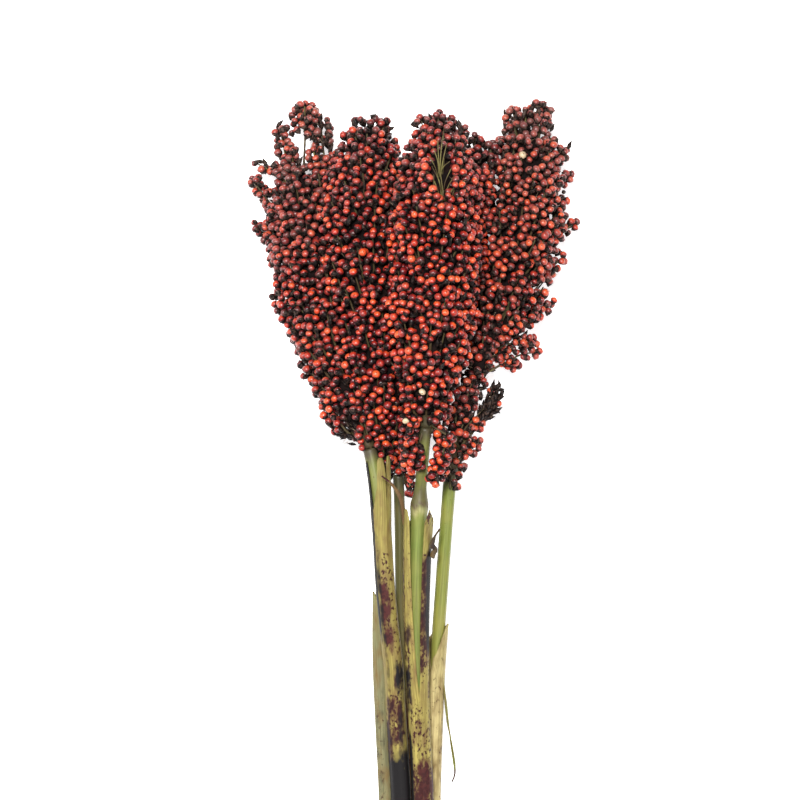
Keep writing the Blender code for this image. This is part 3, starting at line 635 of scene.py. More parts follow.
band = [band_point(a) for a in np.linspace(0, 2 * math.pi, BAND_POINTS, endpoint=False)]
band_middle = np.mean(band, axis=0)
turns = []
for k in range(TIE_TURNS * BAND_POINTS + 1):
    x, z = band[k % BAND_POINTS]
    out = np.array([x, z]) - band_middle
    out *= 1 + TWINE_RADIUS / np.linalg.norm(out)
    y = TIE_Y + TIE_PITCH * (k / BAND_POINTS - TIE_TURNS / 2)
    turns.append((band_middle[0] + out[0], y, band_middle[1] + out[1]))
top_x, _, top_z = turns[BAND_POINTS // 4]
knot = np.array(KNOT_STEPS) + (top_x, TIE_Y, top_z)
strands = []
for route, count in ((turns[::3], len(turns)), (smooth_path(knot, KNOT_POINTS), KNOT_POINTS)):
    path = smooth_path(route, count)
    along, right, up = frames_along(path)
    for ply in range(3):
        phase = run_along(path) / STRAND_TWIST * 2 * math.pi + ply * 2 * math.pi / 3
        offset = right * np.cos(phase)[:, None] + up * np.sin(phase)[:, None]
        middle = path + offset * (TWINE_RADIUS - STRAND_RADIUS)
        strands.append(rings_round(middle, [STRAND_RADIUS] * len(path), STRAND_SIDES))
tie = skin("tie_twine", strands, twine_finish())
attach(tie, "root")
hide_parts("tie")


# Seed heads. Each is a tapering axis with side branches all round it, close together and leaning up, and
# the outer end of each branch is packed with grains. First the lines that the whole head follows.
# Lobes are the branches that make the outline, each as foot, tip and radius. Bare places hold no grains.
HEADS = {
    "left": {
        "width": [(0, 3), (0.06, 9), (0.13, 15), (0.28, 20), (0.5, 25), (0.72, 24), (0.86, 19), (0.95, 14),
                  (1, 11)],
        "end": (-61.5, 359, 22.5), "turn": 0.4, "tint": 0.0, "dust_and_haze": 0.14,
        "lobes": [((-60.5, 373, 23), (-60.8, 392.5, 23), 6.9), ((-49.0, 352, 25), (-51.8, 384.0, 26), 5.6),
                  ((-52, 346, 28), (-56.0, 366.5, 29), 4.4), ((-66, 346, 25), (-68.5, 368.5, 25), 4.0),
                  ((-70, 354, 21), (-75.2, 381, 21), 3.7), ((-72, 336, 21), (-70.5, 366, 21), 5.6),
                  ((-76, 352, 18), (-89.5, 359, 19), 2.3), ((-79, 334, 19), (-91.5, 350, 18), 3.8),
                  ((-75, 309, 19), (-89.8, 325, 19), 2.5), ((-63, 264, 24), (-74, 274.5, 24), 2.4),
                  ((-30, 203, 37), (-44, 207, 38), 1.8), ((-58, 268, 30), (-66, 288, 33), 4.5)]},
    "middle_left": {
        "width": [(0, 4), (0.15, 16), (0.4, 26), (0.7, 27), (0.85, 21), (0.94, 15), (1, 10)],
        "turn": 1.9, "tint": -0.02, "dust_and_haze": 0.0,
        "lobes": [((-22, 360, 44), (-14.5, 381, 44), 4.2), ((-28, 358, 46), (-33, 376, 46), 3.6)]},
    "middle_right": {
        "width": [(0, 4), (0.15, 15), (0.4, 24), (0.7, 25), (0.87, 21), (0.95, 15), (1, 10)],
        "turn": 3.1, "tint": -0.03, "dust_and_haze": 0.02,
        "lobes": [((33, 352, 30), (36, 374, 31), 4.2), ((41, 350, 28), (45.5, 370, 28), 4.0),
                  ((35, 330, 40), (41, 352, 47), 5.4), ((34, 308, 38), (40, 331, 48), 5.4),
                  ((32, 288, 37), (38.5, 310, 47), 5.4), ((27, 268, 36), (35, 291, 46), 5.4),
                  ((22, 250, 36), (31, 272, 45), 5.2)]},
    "front": {
        "width": [(0, 6), (0.12, 15), (0.35, 23), (0.6, 25), (0.8, 21), (0.93, 14), (1, 10)],
        "end": (15.4, 386, 69), "turn": 5.2, "tint": 0.01, "dust_and_haze": 0.02,
        "lobes": [((7, 360, 75), (5, 380.5, 74), 4.8), ((14, 366, 73), (14.5, 383, 73), 4.6),
                  ((23, 358, 74), (27, 377, 71), 4.2), ((14, 238, 64), (22, 252, 74), 5.0),
                  ((6, 244, 64), (2, 262, 78), 5.0), ((1.0, 214, 63), (-0.6, 184, 61), 6.2),
                  ((19.5, 204, 58), (12.6, 177, 60), 4.6), ((0.5, 188, 58), (-1.6, 173, 56), 1.8)]},
    "right": {
        "width": [(0, 3), (0.1, 6.8), (0.2, 6.8), (0.31, 7), (0.38, 11.5), (0.46, 20), (0.6, 25),
                  (0.74, 24), (0.86, 20), (0.94, 17), (1, 12)],
        "end": (65.5, 386, 23), "turn": 4.4, "tint": 0.05, "dust_and_haze": 0.28,
        "lobes": [((72, 362, 24), (71.2, 393, 23), 7.4), ((61, 362, 24), (57, 389.5, 24), 6.2),
                  ((65, 362, 26), (64, 389, 26), 5.6), ((76, 352, 25), (89.5, 368, 24), 2.9),
                  ((78, 341, 20), (90.5, 353, 18), 2.7), ((76, 322, 26), (87.5, 337, 28), 2.8),
                  ((77, 311, 22), (93.5, 326, 20), 2.5), ((74, 294, 25), (86.5, 306, 26), 2.8),
                  ((66, 270, 26), (81, 280, 25), 2.9), ((44, 255, 32), (70.8, 256.5, 29), 4.7),
                  ((46, 250, 31), (60.5, 243, 30), 3.6), ((62, 250, 29), (72.5, 251, 29), 2.4),
                  ((35, 207, 35), (49.6, 233, 36), 2.9), ((38, 211, 36), (49.2, 223, 37), 2.5),
                  ((28, 192, 36), (38.5, 202, 37), 3.2), ((30, 208, 38), (40, 219, 40), 2.6),
                  ((45, 350, 27), (45, 369, 27), 3.8)]},
}
BARE_PLACES = [((15.8, 350, 92), (6.2, 15, 20)), ((-51, 352, 44), (2.6, 8, 16)),
               ((-62.0, 369, 24), (2.3, 8.5, 40)), ((6.9, 206, 66), (4.2, 10, 30)),
               ((72.5, 288, 24), (5.6, 2.8, 40)), ((78.6, 328, 24), (4.6, 2.9, 40))]
GOLDEN_ANGLE = math.pi * (3 - math.sqrt(5))
LINE_POINTS = 90
BRANCH_SPACING = 12.0
CLUSTER_LENGTH = 22.0
CLUSTER_RADIUS = 4.8
TIP_GAP = 8.5
LOWEST_TIP = 3


def length_of(path):
    return float(np.linalg.norm(np.diff(path, axis=0), axis=1).sum())


def head_shape(name):
    """The line of a head from its foot to its tip, and the radius along it, with round ends."""
    points = HEAD_LINES[name][:-1] + [HEADS[name].get("end", HEAD_LINES[name][-1])]
    whole = smooth_path([*STEM_LINES[name][-2:], *points], 600)
    foot = np.argmin(np.abs(whole[:, 1] - STEM_LINES[name][-1][1]))
    path = smooth_path(whole[foot::12], LINE_POINTS)
    share, width = np.array(HEADS[name]["width"], float).T
    s = np.linspace(0, 1, LINE_POINTS)
    radius = np.interp(s, share, width)
    for distance, end in ((s * length_of(path), width[0]), ((1 - s) * length_of(path), width[-1])):
        near = distance < end
        dome = np.sqrt(np.maximum(end**2 - (end - distance[near])**2, 0)) + 0.02
        radius[near] = np.minimum(radius[near], dome)
    return path, radius


def crowding(points, path, radius):
    """How far out each point lies in a head, as a share of the head's own radius there."""
    best = np.full(len(points), np.inf)
    for centre, r in zip(path, np.maximum(radius, 4.0)):
        best = np.minimum(best, np.linalg.norm(points - centre, axis=1) / r)
    return best


def least_crowding(points, names):
    return np.min([crowding(points, *shapes[name]) for name in names], axis=0)


shapes = {name: head_shape(name) for name in HEADS}


# Side branches: thin green to brown stalks. They leave the axis low, rise beside it and lean out, and each
# ends in a cluster. Besides the lobes there is one for each step of the golden angle. Where a patch of the
# front head has lost its grains near the top, its pale green branches show like the ribs of a fan.
TWIG_TONE = (0.050, 0.040, 0.016)
BARE_TONE = (0.130, 0.112, 0.038)
FAN_FOOT_HEIGHT, FAN_TIP_HEIGHT = 83.0, 91.0
FAN_RADII = (0.50, 0.36, 0.30)
# Each bare branch of the fan is given by its foot and its tip, seen from above.
FAN_BRANCHES = [((15.0, 346.5), (16.7, 368.5)), ((14.6, 347.5), (11.6, 361.5)),
                ((15.4, 345.5), (14.0, 366)), ((15.6, 347), (18.8, 364)), ((15.3, 348), (20.6, 354.5)),
                ((14.4, 346), (9.4, 357)), ((16.4, 331), (15.2, 349)), ((15.8, 333), (6.8, 350)),
                ((15.4, 335), (4.2, 353)), ((16.2, 334), (10.6, 352)), ((16.8, 334), (21.2, 350.5)),
                ((17.1, 332), (23.4, 347)), ((18.6, 333), (29.0, 344))]


def clusters_of(name):
    """The outer part of each side branch of a head, as (foot, tip, radius of the cluster)."""
    path, radius = shapes[name]
    rng = np.random.default_rng(len(name))
    along, right, up = frames_along(path)
    lobes = HEADS[name]["lobes"]
    found = [(np.array(foot, float), np.array(tip, float), thick) for foot, tip, thick in lobes]
    step = length_of(path) / (LINE_POINTS - 1)
    strip = radius * np.sqrt(1 + np.gradient(radius, step)**2) * step * 2 * math.pi
    area = np.concatenate([[0], np.cumsum((strip[1:] + strip[:-1]) / 2)])
    count = int(area[-1] / BRANCH_SPACING**2)
    others = [other for other in shapes if other != name]
    for k in range(count):
        s = np.interp((k + 0.5) / count * area[-1], area, np.linspace(0, 1, LINE_POINTS))
        i = int(s * (LINE_POINTS - 1))
        angle = HEADS[name]["turn"] + GOLDEN_ANGLE * k + rng.uniform(-0.25, 0.25)
        out = right[i] * math.cos(angle) + up[i] * math.sin(angle)
        lean = rng.uniform(0.3, 0.55) if s < 0.9 else 0.15
        way = out * lean + along[i] * math.sqrt(1 - lean**2)
        surface = path[i] + out * (radius[i] + rng.uniform(-3.4, 1.8))
        tip = surface + way * 7 * min(1.0, (1 - s) * 5) - out * CLUSTER_RADIUS * 0.6
        if crowding(tip[None], path, radius)[0] > least_crowding(tip[None], others)[0]:
            continue
        if tip[2] < LOWEST_TIP or any(np.linalg.norm(tip - other) < TIP_GAP for _, other, _ in found):
            continue
        found.append((tip - way * CLUSTER_LENGTH, tip, CLUSTER_RADIUS * rng.uniform(0.85, 1.15)))
    return found


def branch_finish():
    """Green rind that goes brown in patches."""
    finish = Finish("branch rind", 0.6, 0.2)
    browning = finish.ranged(finish.noise(finish.place(), 110), 0.40, 0.60)
    return finish.coloured(finish.mixed(finish.attribute("tone"), (0.045, 0.028, 0.012), browning))


rind = branch_finish()
head_clusters = {}
for name in HEADS:
    path, radius = shapes[name]
    head_clusters[name] = clusters_of(name)
    axis_radius = np.interp(np.linspace(0, 1, LINE_POINTS), [0, 0.15, 1], [stalk_radius(name, 500), 2.4, 0.7])
    tubes, tones = [rings_round(path[:-3], axis_radius[:-3], 10)], [AXIS_TONE]
    for foot, tip, thick in head_clusters[name]:
        start = at(path, max(path[0][1] + 1, min(min(foot[1], tip[1]) - 14, path[-1][1] - 22)))
        if tip[1] < path[0][1]:
            start = at(path, path[0][1] + 3)
        bow = (start + foot) / 2 + (foot - start) * 0.1
        route = smooth_path([start, bow, foot, (foot + tip) / 2, tip], 10)
        tubes.append(rings_round(route, np.linspace(0.95, 0.4, 10), 5))
        tones.append(BARE_TONE if tip[1] > path[-1][1] or thick < 2.6 else TWIG_TONE)
    if name == "front":
        for number, (low, tip) in enumerate(FAN_BRANCHES):
            low, tip = np.array([*low, FAN_FOOT_HEIGHT]), np.array([*tip, FAN_TIP_HEIGHT])
            spread = tip[0] - low[0]
            bow = (low + tip) / 2 + (0.5 * math.sin(number * 2.3) - 0.16 * spread, 0.12 * abs(spread), 1.6)
            radii = np.linspace(FAN_RADII[number % 3], 0.2, 10)
            tubes.append(rings_round(smooth_path([low, bow, tip], 10), radii, 6))
            tones.append(BARE_TONE)
    branches = skin("head_" + name + "_branches", tubes, rind)
    tones = [np.tile(tone, (tube.size // 3, 1)) for tube, tone in zip(tubes, tones)]
    paint(branches, "tone", np.vstack(tones))
    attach(branches, "root")
    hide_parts("head_" + name)


# Grains: hard glossy round seeds, orange red at the top where they are ripe, going crimson towards the base
# with painted shade. Each sits in a dark husk. They stand all round the outer part of each branch, pointing
# up and out.
GRAIN_WIDTH = 4.75
GRAIN_LENGTH = 3.5
GRAIN_GAP = 4.0
OUTLINE_GAP_SHARE = 0.88
CLUSTER_PITCH = 4.2
DEEP_SHARE = 0.62
# Between the clusters the head is filled from (lowest and highest share of its radius, tries).
FILLING = [((0.84, 1.0), 4200), ((0.68, 0.82), 2600)]
LOWEST_GRAIN = 2.4
TABLE_GAP = 0.15
SKIN_DEPTH = 9.0
STALK_GAP = 2.6
FACING_TILT = 0.3


def cluster_places(foot, tip, thick, rng):
    """Places for grains all round a cluster and over its tip, with the way that each one points."""
    axis = (tip - foot) / np.linalg.norm(tip - foot)
    side = np.cross(axis, (0, 0, 1.0) if abs(axis[2]) < 0.8 else (1.0, 0, 0))
    side /= np.linalg.norm(side)
    other = np.cross(axis, side)
    length = np.linalg.norm(tip - foot)
    count = int(2 * math.pi * thick * length / (CLUSTER_PITCH**2 * 0.62)) + 4
    phase = rng.uniform(0, 2 * math.pi)
    for k in range(count):
        back = (k + 0.3) / count * length
        dome = math.sqrt(max(0.0, 1 - max(0.0, 1 - back / thick)**2))
        angle = phase + GOLDEN_ANGLE * k + rng.uniform(-0.2, 0.2)
        out = side * math.cos(angle) + other * math.sin(angle)
        place = tip - axis * back + out * thick * dome * rng.uniform(0.72, 1.14)
        facing = out * (0.2 + 0.2 * dome) + axis
        yield place, facing / np.linalg.norm(facing)


def free_place(place, taken, gap):
    """Whether no grain is nearer than the gap; if so the place is taken."""
    cell = tuple(int(c // GRAIN_GAP) for c in place)
    reach = range(-2, 3)
    for dx in reach:
        for dy in reach:
            for dz in reach:
                for other in taken.get((cell[0] + dx, cell[1] + dy, cell[2] + dz), ()):
                    apart = (place[0] - other[0])**2 + (place[1] - other[1])**2 + (place[2] - other[2])**2
                    if apart < gap**2:
                        return False
    taken.setdefault(cell, []).append(tuple(place))
    return True


def open_to_air(places):
    """Which places lie within a grain or two of the outside of the whole bunch."""
    found = np.zeros(len(places), bool)
    for k in range(16):
        z = 1 - (k + 0.5) / 8
        angle = GOLDEN_ANGLE * k
        way = np.array([math.sqrt(1 - z * z) * math.cos(angle), math.sqrt(1 - z * z) * math.sin(angle), z])
        found |= least_crowding(places + way * SKIN_DEPTH, HEADS) > 1
    return found


def in_bare_place(places):
    """Which places lie where grains have fallen off."""
    found = np.zeros(len(places), bool)
    for centre, half in BARE_PLACES:
        found |= ((((places - centre) / half)**2).sum(1) < 1)
    return found


def grain_places(name, taken):
    """Where the grains of a head stand, the way that each points, and how far out each is."""
    rng = np.random.default_rng(40 + len(name))
    path, radius = shapes[name]
    places, facings, listed = [], [], []
    for number, (foot, tip, thick) in enumerate(head_clusters[name]):
        outline = number < len(HEADS[name]["lobes"])
        for share in (1.0, 1.0, 0.45) if outline else (1.0,):
            for place, facing in cluster_places(foot, tip, thick * share, rng):
                places.append(place)
                facings.append(facing)
                listed.append(outline)
    along, right, up = frames_along(path)
    for depth, count in FILLING:
        for k in range(count):
            i = rng.integers(2, LINE_POINTS - 2)
            angle = rng.uniform(0, 2 * math.pi)
            out = right[i] * math.cos(angle) + up[i] * math.sin(angle)
            places.append(path[i] + out * radius[i] * rng.uniform(*depth))
            facings.append(out * 0.35 + along[i] * 0.94)
            listed.append(False)
    places, facings, listed = np.array(places), np.array(facings), np.array(listed)
    own = crowding(places, path, radius)
    others = [other for other in HEADS if other != name]
    fits = (listed | (own < least_crowding(places, others))) & (places[:, 2] > LOWEST_GRAIN - 3)
    fits &= listed | (own > DEEP_SHARE) | (places[:, 1] > path[-4][1])
    fits &= open_to_air(places) & ~in_bare_place(places)
    places[:, 2] = np.maximum(places[:, 2], LOWEST_GRAIN)
    for other in STEM_LINES:
        stalk = stem_path(other, 100, STEM_LINES[other][-1][1], 40)
        nearest = np.min([np.linalg.norm(places - c, axis=1) for c in stalk], axis=0)
        fits &= nearest > stalk_radius(other, 150) + STALK_GAP
    chosen = []
    for index in np.flatnonzero(fits):
        gap = GRAIN_GAP * rng.uniform(0.94, 1.1) * (OUTLINE_GAP_SHARE if listed[index] else 1)
        if free_place(places[index], taken, gap):
            chosen.append(index)
    return places[chosen], facings[chosen], own[chosen]


def grain_tree(label):
    """A geometry tree that sets a seed or husk at each point, turned and sized as the point says."""
    tree = bpy.data.node_groups.new(label, "GeometryNodeTree")
    kinds = {"Geometry": "Geometry", "Width": "Float", "Length": "Float", "Seed": "Int", "Part": "Object",
             "Finish": "Material"}
    for name, kind in kinds.items():
        tree.interface.new_socket(name, in_out="INPUT", socket_type="NodeSocket" + kind)
    tree.interface.new_socket("Geometry", in_out="OUTPUT", socket_type="NodeSocketGeometry")

    def node(kind, output, inputs, **settings):
        return add_node(tree, kind, output, inputs, **settings)

    given = tree.nodes.new("NodeGroupInput").outputs
    part = node("GeometryNodeObjectInfo", "Geometry", {"Object": given["Part"]})
    size = node("ShaderNodeCombineXYZ", "Vector", {
        "X": given["Width"], "Y": given["Width"], "Z": given["Length"]})
    sized = node("GeometryNodeTransform", "Geometry", {"Geometry": part, "Scale": size})
    facing = node("GeometryNodeInputNamedAttribute", "Attribute", {"Name": "facing"},
                  data_type="FLOAT_VECTOR")
    align = node("FunctionNodeAlignRotationToVector", "Rotation", {"Vector": facing}, axis="Z")
    least, most = (-FACING_TILT, -FACING_TILT, -3.14), (FACING_TILT, FACING_TILT, 3.14)
    spin = node("FunctionNodeRandomValue", "Value", {"Min": least, "Max": most, "Seed": given["Seed"]},
                data_type="FLOAT_VECTOR")
    turn = node("FunctionNodeEulerToRotation", "Rotation", {"Euler": spin})
    both = node("FunctionNodeRotateRotation", "Rotation", {"Rotation": align, "Rotate By": turn},
                rotation_space="LOCAL")
    grown = node("GeometryNodeInputNamedAttribute", "Attribute", {"Name": "grown"}, data_type="FLOAT")
    set_out = node("GeometryNodeInstanceOnPoints", "Instances", {
        "Points": given["Geometry"], "Instance": sized, "Rotation": both, "Scale": grown})
    real = node("GeometryNodeRealizeInstances", "Geometry", {"Geometry": set_out})
    coat = node("GeometryNodeSetMaterial", "Geometry", {"Geometry": real, "Material": given["Finish"]})
    feed(tree, tree.nodes.new("NodeGroupOutput"), {"Geometry": coat})
    return tree


def grow(name, inputs, places, facings, sizes, looks):
    """Runs the seed tree on points. The result is a mesh object, pressed flat where it meets the table."""
    points = mesh_object(name + "_points", (places + PLACE) * MM, [])
    stored = {"facing": (facings, "FLOAT_VECTOR", "vector"), "grown": (sizes, "FLOAT", "value"),
              "look": (looks, "FLOAT_VECTOR", "vector")}
    for label, (values, kind, key) in stored.items():
        layer = points.data.attributes.new(label, kind, "POINT")
        layer.data.foreach_set(key, values.astype(np.float32).ravel())
    modifier = points.modifiers.new("grow", "NODES")
    modifier.node_group = seed_tree
    for socket in seed_tree.interface.items_tree:
        if socket.in_out == "INPUT" and socket.name in inputs:
            modifier[socket.identifier] = inputs[socket.name]
    graph = bpy.context.evaluated_depsgraph_get()
    made = bpy.data.objects.new(name, bpy.data.meshes.new_from_object(points.evaluated_get(graph)))
    bpy.context.scene.collection.objects.link(made)
    bpy.data.objects.remove(points)
    spots = np.empty(len(made.data.vertices) * 3, np.float32)
    made.data.vertices.foreach_get("co", spots)
    spots[2::3] = np.maximum(spots[2::3], TABLE_GAP * MM)
    made.data.vertices.foreach_set("co", spots)
    made.data.shade_smooth()
    return made


def ring_points(rows):
    """Points round the upright axis, from rows that give a (radius, height) for each side."""
    points = []
    for row in rows:
        for k, (radius, height) in enumerate(row):
            angle = 2 * math.pi * k / len(row)
            points.append((radius * math.cos(angle), radius * math.sin(angle), height))
    return points


def turned(name, profile, sides):
    """A closed shape turned from a profile of (radius, height) that starts and ends on the axis."""
    points = ring_points([[step] * sides for step in profile[1:-1]])
    points = [(0, 0, profile[0][1]), *points, (0, 0, profile[-1][1])]
    faces = []
    rows = len(profile) - 2
    for k in range(sides):
        after = (k + 1) % sides
        faces.append((0, 1 + after, 1 + k))
        for i in range(rows - 1):
            a, b = 1 + i * sides + k, 1 + i * sides + after
            faces.append((a, b, b + sides, a + sides))
        last = 1 + (rows - 1) * sides
        faces.append((last + k, last + after, len(points) - 1))
    made = mesh_object(name, points, faces)
    height = made.data.attributes.new("height", "FLOAT", "POINT")
    height.data.foreach_set("value", np.array([p[2] + 0.5 for p in points], np.float32))
    return made


def seed_coat():
    """The seed's hard coat: orange red at the top, going crimson towards the base with painted shade, each
    seed a little different. Its look holds how ripe it is, darkened with painted shade deep in the head,
    how dusty it is, with painted haze towards the tips, and whether it has died."""
    finish = Finish("seed coat", 0.3, 0.42)
    ripeness_and_shade, dust_and_haze, dead = finish.split("SeparateXYZ", finish.attribute("look", "Vector"))
    height = finish.attribute("height", "Fac")
    mottle = finish.noise(finish.place(), 420, 3)
    # The coat darkens from its top towards its base: painted shade of the husk and the grains round it.
    ripe_and_shaded = finish.maths("MULTIPLY_ADD", height, 0.5, ripeness_and_shade)
    colour = finish.ramp(finish.maths("MULTIPLY_ADD", mottle, 0.4, ripe_and_shaded), [
        (0.30, (0.010, 0.002, 0.0025)), (0.52, (0.085, 0.005, 0.008)),
        (0.74, (0.29, 0.019, 0.009)), (1.0, (0.57, 0.080, 0.018))])
    colour = finish.mixed(colour, (0.17, 0.062, 0.052), dust_and_haze)
    colour = finish.mixed(colour, (0.42, 0.32, 0.20), dead)
    colour = finish.mixed(colour, (0.02, 0.006, 0.005), finish.ranged(height, 0.99, 1.02))
    return finish.coloured(colour)


EMPTY_SHARE = 0.06
TIP_EMPTY_SHARE = 0.14
TIP_EMPTY_LENGTH = 25.0
# Low on each side of the bunch most of the grains have been shed: from and to, as seen from above.
SHED_PLACES = [((37, 212), (math.inf, 238)), ((-math.inf, -math.inf), (-34, 210))]
SHED_SHARE = 0.8
# Grains and husks go paler and greyer towards the tips of the heads: painted haze of light over each head's
# own dust.
TIP_HAZE, TIP_HAZE_LENGTH, TIP_HAZE_FADE = 0.45, 70.0, 90.0
MIDDLE_RIPENESS, RIPENESS_SPREAD = 0.165, 0.17
FACING_SPREAD = 0.38
# Near each of these spots the top grain has died and gone pale.
PALE_SPOTS = [(2.3, 228), (-1.1, 213), (64, 363)]
PALE_REACH = 4.0
DEEP_PAINTED_SHADE = 0.22
taken_places = {}
seed_profile = [(0.0, -0.5), (0.37, -0.36), (0.5, -0.06), (0.44, 0.24), (0.2, 0.45), (0.0, 0.54)]
seed_part = turned("seed", seed_profile, 8)
seed_tree = grain_tree("set on branches")
grain = {"Width": GRAIN_WIDTH * MM, "Length": GRAIN_LENGTH * MM, "Seed": 1, "Part": seed_part,
         "Finish": seed_coat()}
head_grains = {}
for name in HEADS:
    places, facings, outness = grain_places(name, taken_places)
    rng = np.random.default_rng(90 + len(name))
    sizes = rng.uniform(0.76, 1.08, len(places))
    from_tip = places[:, 1] - shapes[name][0][-1][1]
    at_tip = np.clip((from_tip + TIP_EMPTY_LENGTH) / TIP_EMPTY_LENGTH, 0, 1)
    full = rng.uniform(0, 1, len(places)) > EMPTY_SHARE + TIP_EMPTY_SHARE * at_tip
    for low, high in SHED_PLACES:
        inside = ((places[:, :2] > low) & (places[:, :2] < high)).all(1)
        full &= ~(inside & (rng.uniform(0, 1, len(places)) < SHED_SHARE))
    facings = facings + rng.normal(0, FACING_SPREAD, facings.shape)
    facings /= np.linalg.norm(facings, axis=1)[:, None]
    # Grains deep in a head are darkened through their look: painted shade of the gaps between the outer
    # grains.
    deep_shade = np.clip((0.95 - outness) / 0.25, 0, 1)
    ripeness_and_shade = MIDDLE_RIPENESS + HEADS[name]["tint"]
    ripeness_and_shade += rng.uniform(-RIPENESS_SPREAD, RIPENESS_SPREAD, len(places))
    ripeness_and_shade -= DEEP_PAINTED_SHADE * deep_shade
    near_tip = np.clip((from_tip + TIP_HAZE_LENGTH) / TIP_HAZE_FADE, 0, 1)
    dust_and_haze = np.clip(HEADS[name]["dust_and_haze"] + TIP_HAZE * near_tip + rng.uniform(-0.2, 0.2, len(places)), 0, 0.8)
    looks = np.stack([ripeness_and_shade, dust_and_haze, dust_and_haze * 0], axis=1)
    for spot in PALE_SPOTS:
        near = np.linalg.norm(places[:, :2] - spot, axis=1) < PALE_REACH
        if near.any():
            looks[np.argmax(np.where(near & full, places[:, 2], -1)), 2] = 1
    head_grains[name] = (places, facings, sizes, full, looks)
    grains = grow("head_" + name + "_grains", grain, places[full], facings[full], sizes[full], looks[full])
    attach(grains, "root")
    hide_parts("head_" + name)


# Husks: two stiff pointed bracts clasp the lower half of each grain like a cup on a tiny stalk. They are
# brown black, dry and a little glossy. Those that have lost their grain close to a point.
HUSK_WIDTH = 4.5
HUSK_LENGTH = 3.1
HUSK_DROP = 0.75
EMPTY_WIDTH = 2.9
EMPTY_LENGTH = 5.0
# Branches that have shed nearly every grain: only their empty husks are left, close together.
SPENT_BRANCHES = {
    "left": [((-34, 204, 37), (-43, 206, 38), 1.4)],
    "right": [((37, 211, 35), (47.5, 233, 37), 2.0), ((42, 218, 36), (50.2, 228, 37), 1.6),
              ((40, 213, 36), (48.2, 220, 37), 1.6)],
}


def husk_cup():
    """A cup on a short stalk, whose rim rises to a point on two sides, closed over just inside the rim."""
    sides = 8
    rim_rise = [0.55, 0.08, -0.2, 0.08, 0.55, 0.08, -0.2, 0.08]
    rows = [[(0.07, -0.95)] * sides, [(0.42, -0.34)] * sides,
            [(0.53, rise) for rise in rim_rise], [(0.36, rise - 0.12) for rise in rim_rise]]
    faces = [tuple(reversed(range(sides)))]
    for i in range(len(rows) - 1):
        for k in range(sides):
            a, b = i * sides + k, i * sides + (k + 1) % sides
            faces.append((a, b, b + sides, a + sides))
    faces.append(tuple(range((len(rows) - 1) * sides, len(rows) * sides)))
    return mesh_object("husk", ring_points(rows), faces)


def husk_finish(label, dark, pale, low, high):
    """Dry husk, dark with paler streaks, and greyer where there is dust and painted haze."""
    finish = Finish(label, 0.5, 0.09)
    dust_and_haze = finish.split("SeparateXYZ", finish.attribute("look", "Vector"))["Y"]
    streaks = finish.noise(finish.place(), 800)
    paleness = finish.maths("MULTIPLY_ADD", dust_and_haze, 0.18, streaks)
    return finish.coloured(finish.ramp(paleness, [(low, dark), (high, pale)]))


husk_part = husk_cup()
empty_part = turned("empty husk", [(0.0, -0.6), (0.34, -0.25), (0.46, 0.1), (0.22, 0.5), (0.0, 0.85)], 6)
husk_coat = husk_finish("husk", (0.004, 0.0025, 0.0025), (0.09, 0.055, 0.042), 0.50, 0.95)
husk = {"Width": HUSK_WIDTH * MM, "Length": HUSK_LENGTH * MM, "Seed": 1, "Part": husk_part,
        "Finish": husk_coat}
empty_husk = {"Width": EMPTY_WIDTH * MM, "Length": EMPTY_LENGTH * MM, "Seed": 2, "Part": empty_part,
              "Finish": husk_coat}
for name in HEADS:
    places, facings, sizes, full, looks = head_grains[name]
    lowered = places - facings * HUSK_DROP
    rng = np.random.default_rng(190 + len(name))
    spent = []
    for branch in SPENT_BRANCHES.get(name, []):
        spent += cluster_places(*map(np.array, branch), rng)
    spent_looks = np.tile((0, HEADS[name]["dust_and_haze"], 0), (len(spent), 1))
    empty_places = np.vstack([lowered[~full], *[place for place, _ in spent]])
    empty_facings = np.vstack([facings[~full], *[facing for _, facing in spent]])
    empty_sizes = np.concatenate([sizes[~full], rng.uniform(0.65, 1.0, len(spent))])
    empty_looks = np.vstack([looks[~full], spent_looks.reshape(-1, 3)])
    husks = grow("head_" + name + "_husks", husk, lowered[full], facings[full], sizes[full], looks[full])
    empties = grow("head_" + name + "_empty_husks", empty_husk, empty_places, empty_facings, empty_sizes,
                   empty_looks)
    for piece in (husks, empties):
        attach(piece, "root")
        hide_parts("head_" + name)


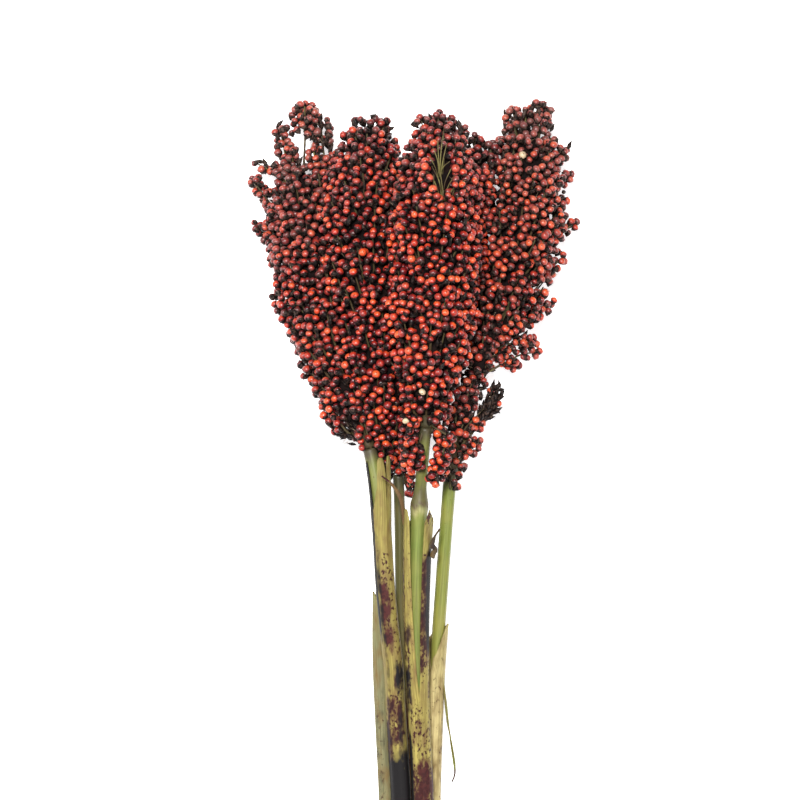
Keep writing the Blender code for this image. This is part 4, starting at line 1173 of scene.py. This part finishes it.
# Bristles: fine dry hairs and slivers of husk that stick out between the grains, grey to brown. They are
# thickest at the tips of the heads.
BRISTLE_WIDTH = 0.4
BRISTLE_LENGTH = 4.6
BRISTLE_SHARE, TIP_BRISTLE_SHARE, BRISTLY_LENGTH = 0.16, 0.3, 60.0
bristle_part = turned("bristle", [(0.0, 0.0), (0.5, 0.1), (0.3, 0.7), (0.0, 1.0)], 3)
bristle_coat = husk_finish("bristle", (0.035, 0.02, 0.013), (0.26, 0.20, 0.13), 0.42, 0.66)
bristle = {"Width": BRISTLE_WIDTH * MM, "Length": BRISTLE_LENGTH * MM, "Seed": 3, "Part": bristle_part,
           "Finish": bristle_coat}
for name in HEADS:
    places, facings, sizes, full, looks = head_grains[name]
    rng = np.random.default_rng(140 + len(name))
    near_tip = np.clip((places[:, 1] - shapes[name][0][-1][1] + BRISTLY_LENGTH) / BRISTLY_LENGTH, 0, 1)
    chosen = rng.uniform(0, 1, len(places)) < BRISTLE_SHARE + TIP_BRISTLE_SHARE * near_tip
    ways = facings[chosen] + rng.normal(0, 0.35, (chosen.sum(), 3))
    ways /= np.linalg.norm(ways, axis=1)[:, None]
    roots = places[chosen] + np.cross(facings[chosen], ways) * 4
    lengths = rng.uniform(0.5, 1.0, chosen.sum())
    bristles = grow("head_" + name + "_bristles", bristle, roots, ways, lengths, looks[chosen])
    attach(bristles, "root")
    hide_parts("head_" + name)
for part in (seed_part, husk_part, empty_part, bristle_part):
    bpy.data.objects.remove(part)


# Inner branches: the dense tangle of twigs and old husks round the axis, which shows only as dark depth
# between the grains. It is a rough body that the grains stand out of, nearly black with painted shade.
INNER_SHARE = 0.60
INNER_SIDES = 40
INNER_FLOOR = 3.0


def inner_shade_finish():
    """Painted shade: nearly black brown, rough with old husks."""
    finish = Finish("inner husks in painted shade", 0.9, 0.1)
    chaff = finish.node("TexVoronoi", "Distance", {"Vector": finish.place(), "Scale": 260})
    finish.bump(chaff, 0.001)
    return finish.coloured(finish.ramp(chaff, [(0, (0.008, 0.003, 0.0025)), (1, (0.003, 0.002, 0.002))]))


inner_shade_coat = inner_shade_finish()
for name in HEADS:
    path, radius = shapes[name]
    rings = rings_round(path[1:-1], np.maximum(radius[1:-1] * INNER_SHARE, 0.6), INNER_SIDES)
    middle = path[1:-1, None]
    angle = np.linspace(0, 2 * math.pi, INNER_SIDES, endpoint=False)[None]
    s = np.linspace(0, 1, LINE_POINTS)[1:-1, None]
    lumps = 1 + 0.05 * np.sin(angle * 9 + s * 60) + 0.05 * np.sin(angle * 5 - s * 95)
    count = np.arange(LINE_POINTS - 2)
    taper = np.sqrt(np.clip(np.minimum(count, count[::-1] - 2) / 7, 0.001, 1))[:, None]
    rings = middle + (rings - middle) * (lumps * taper)[..., None]
    rings[..., 2] = np.maximum(rings[..., 2], INNER_FLOOR)
    inner = skin("head_" + name + "_inner", [rings], inner_shade_coat)
    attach(inner, "root")
    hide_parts("head_" + name)
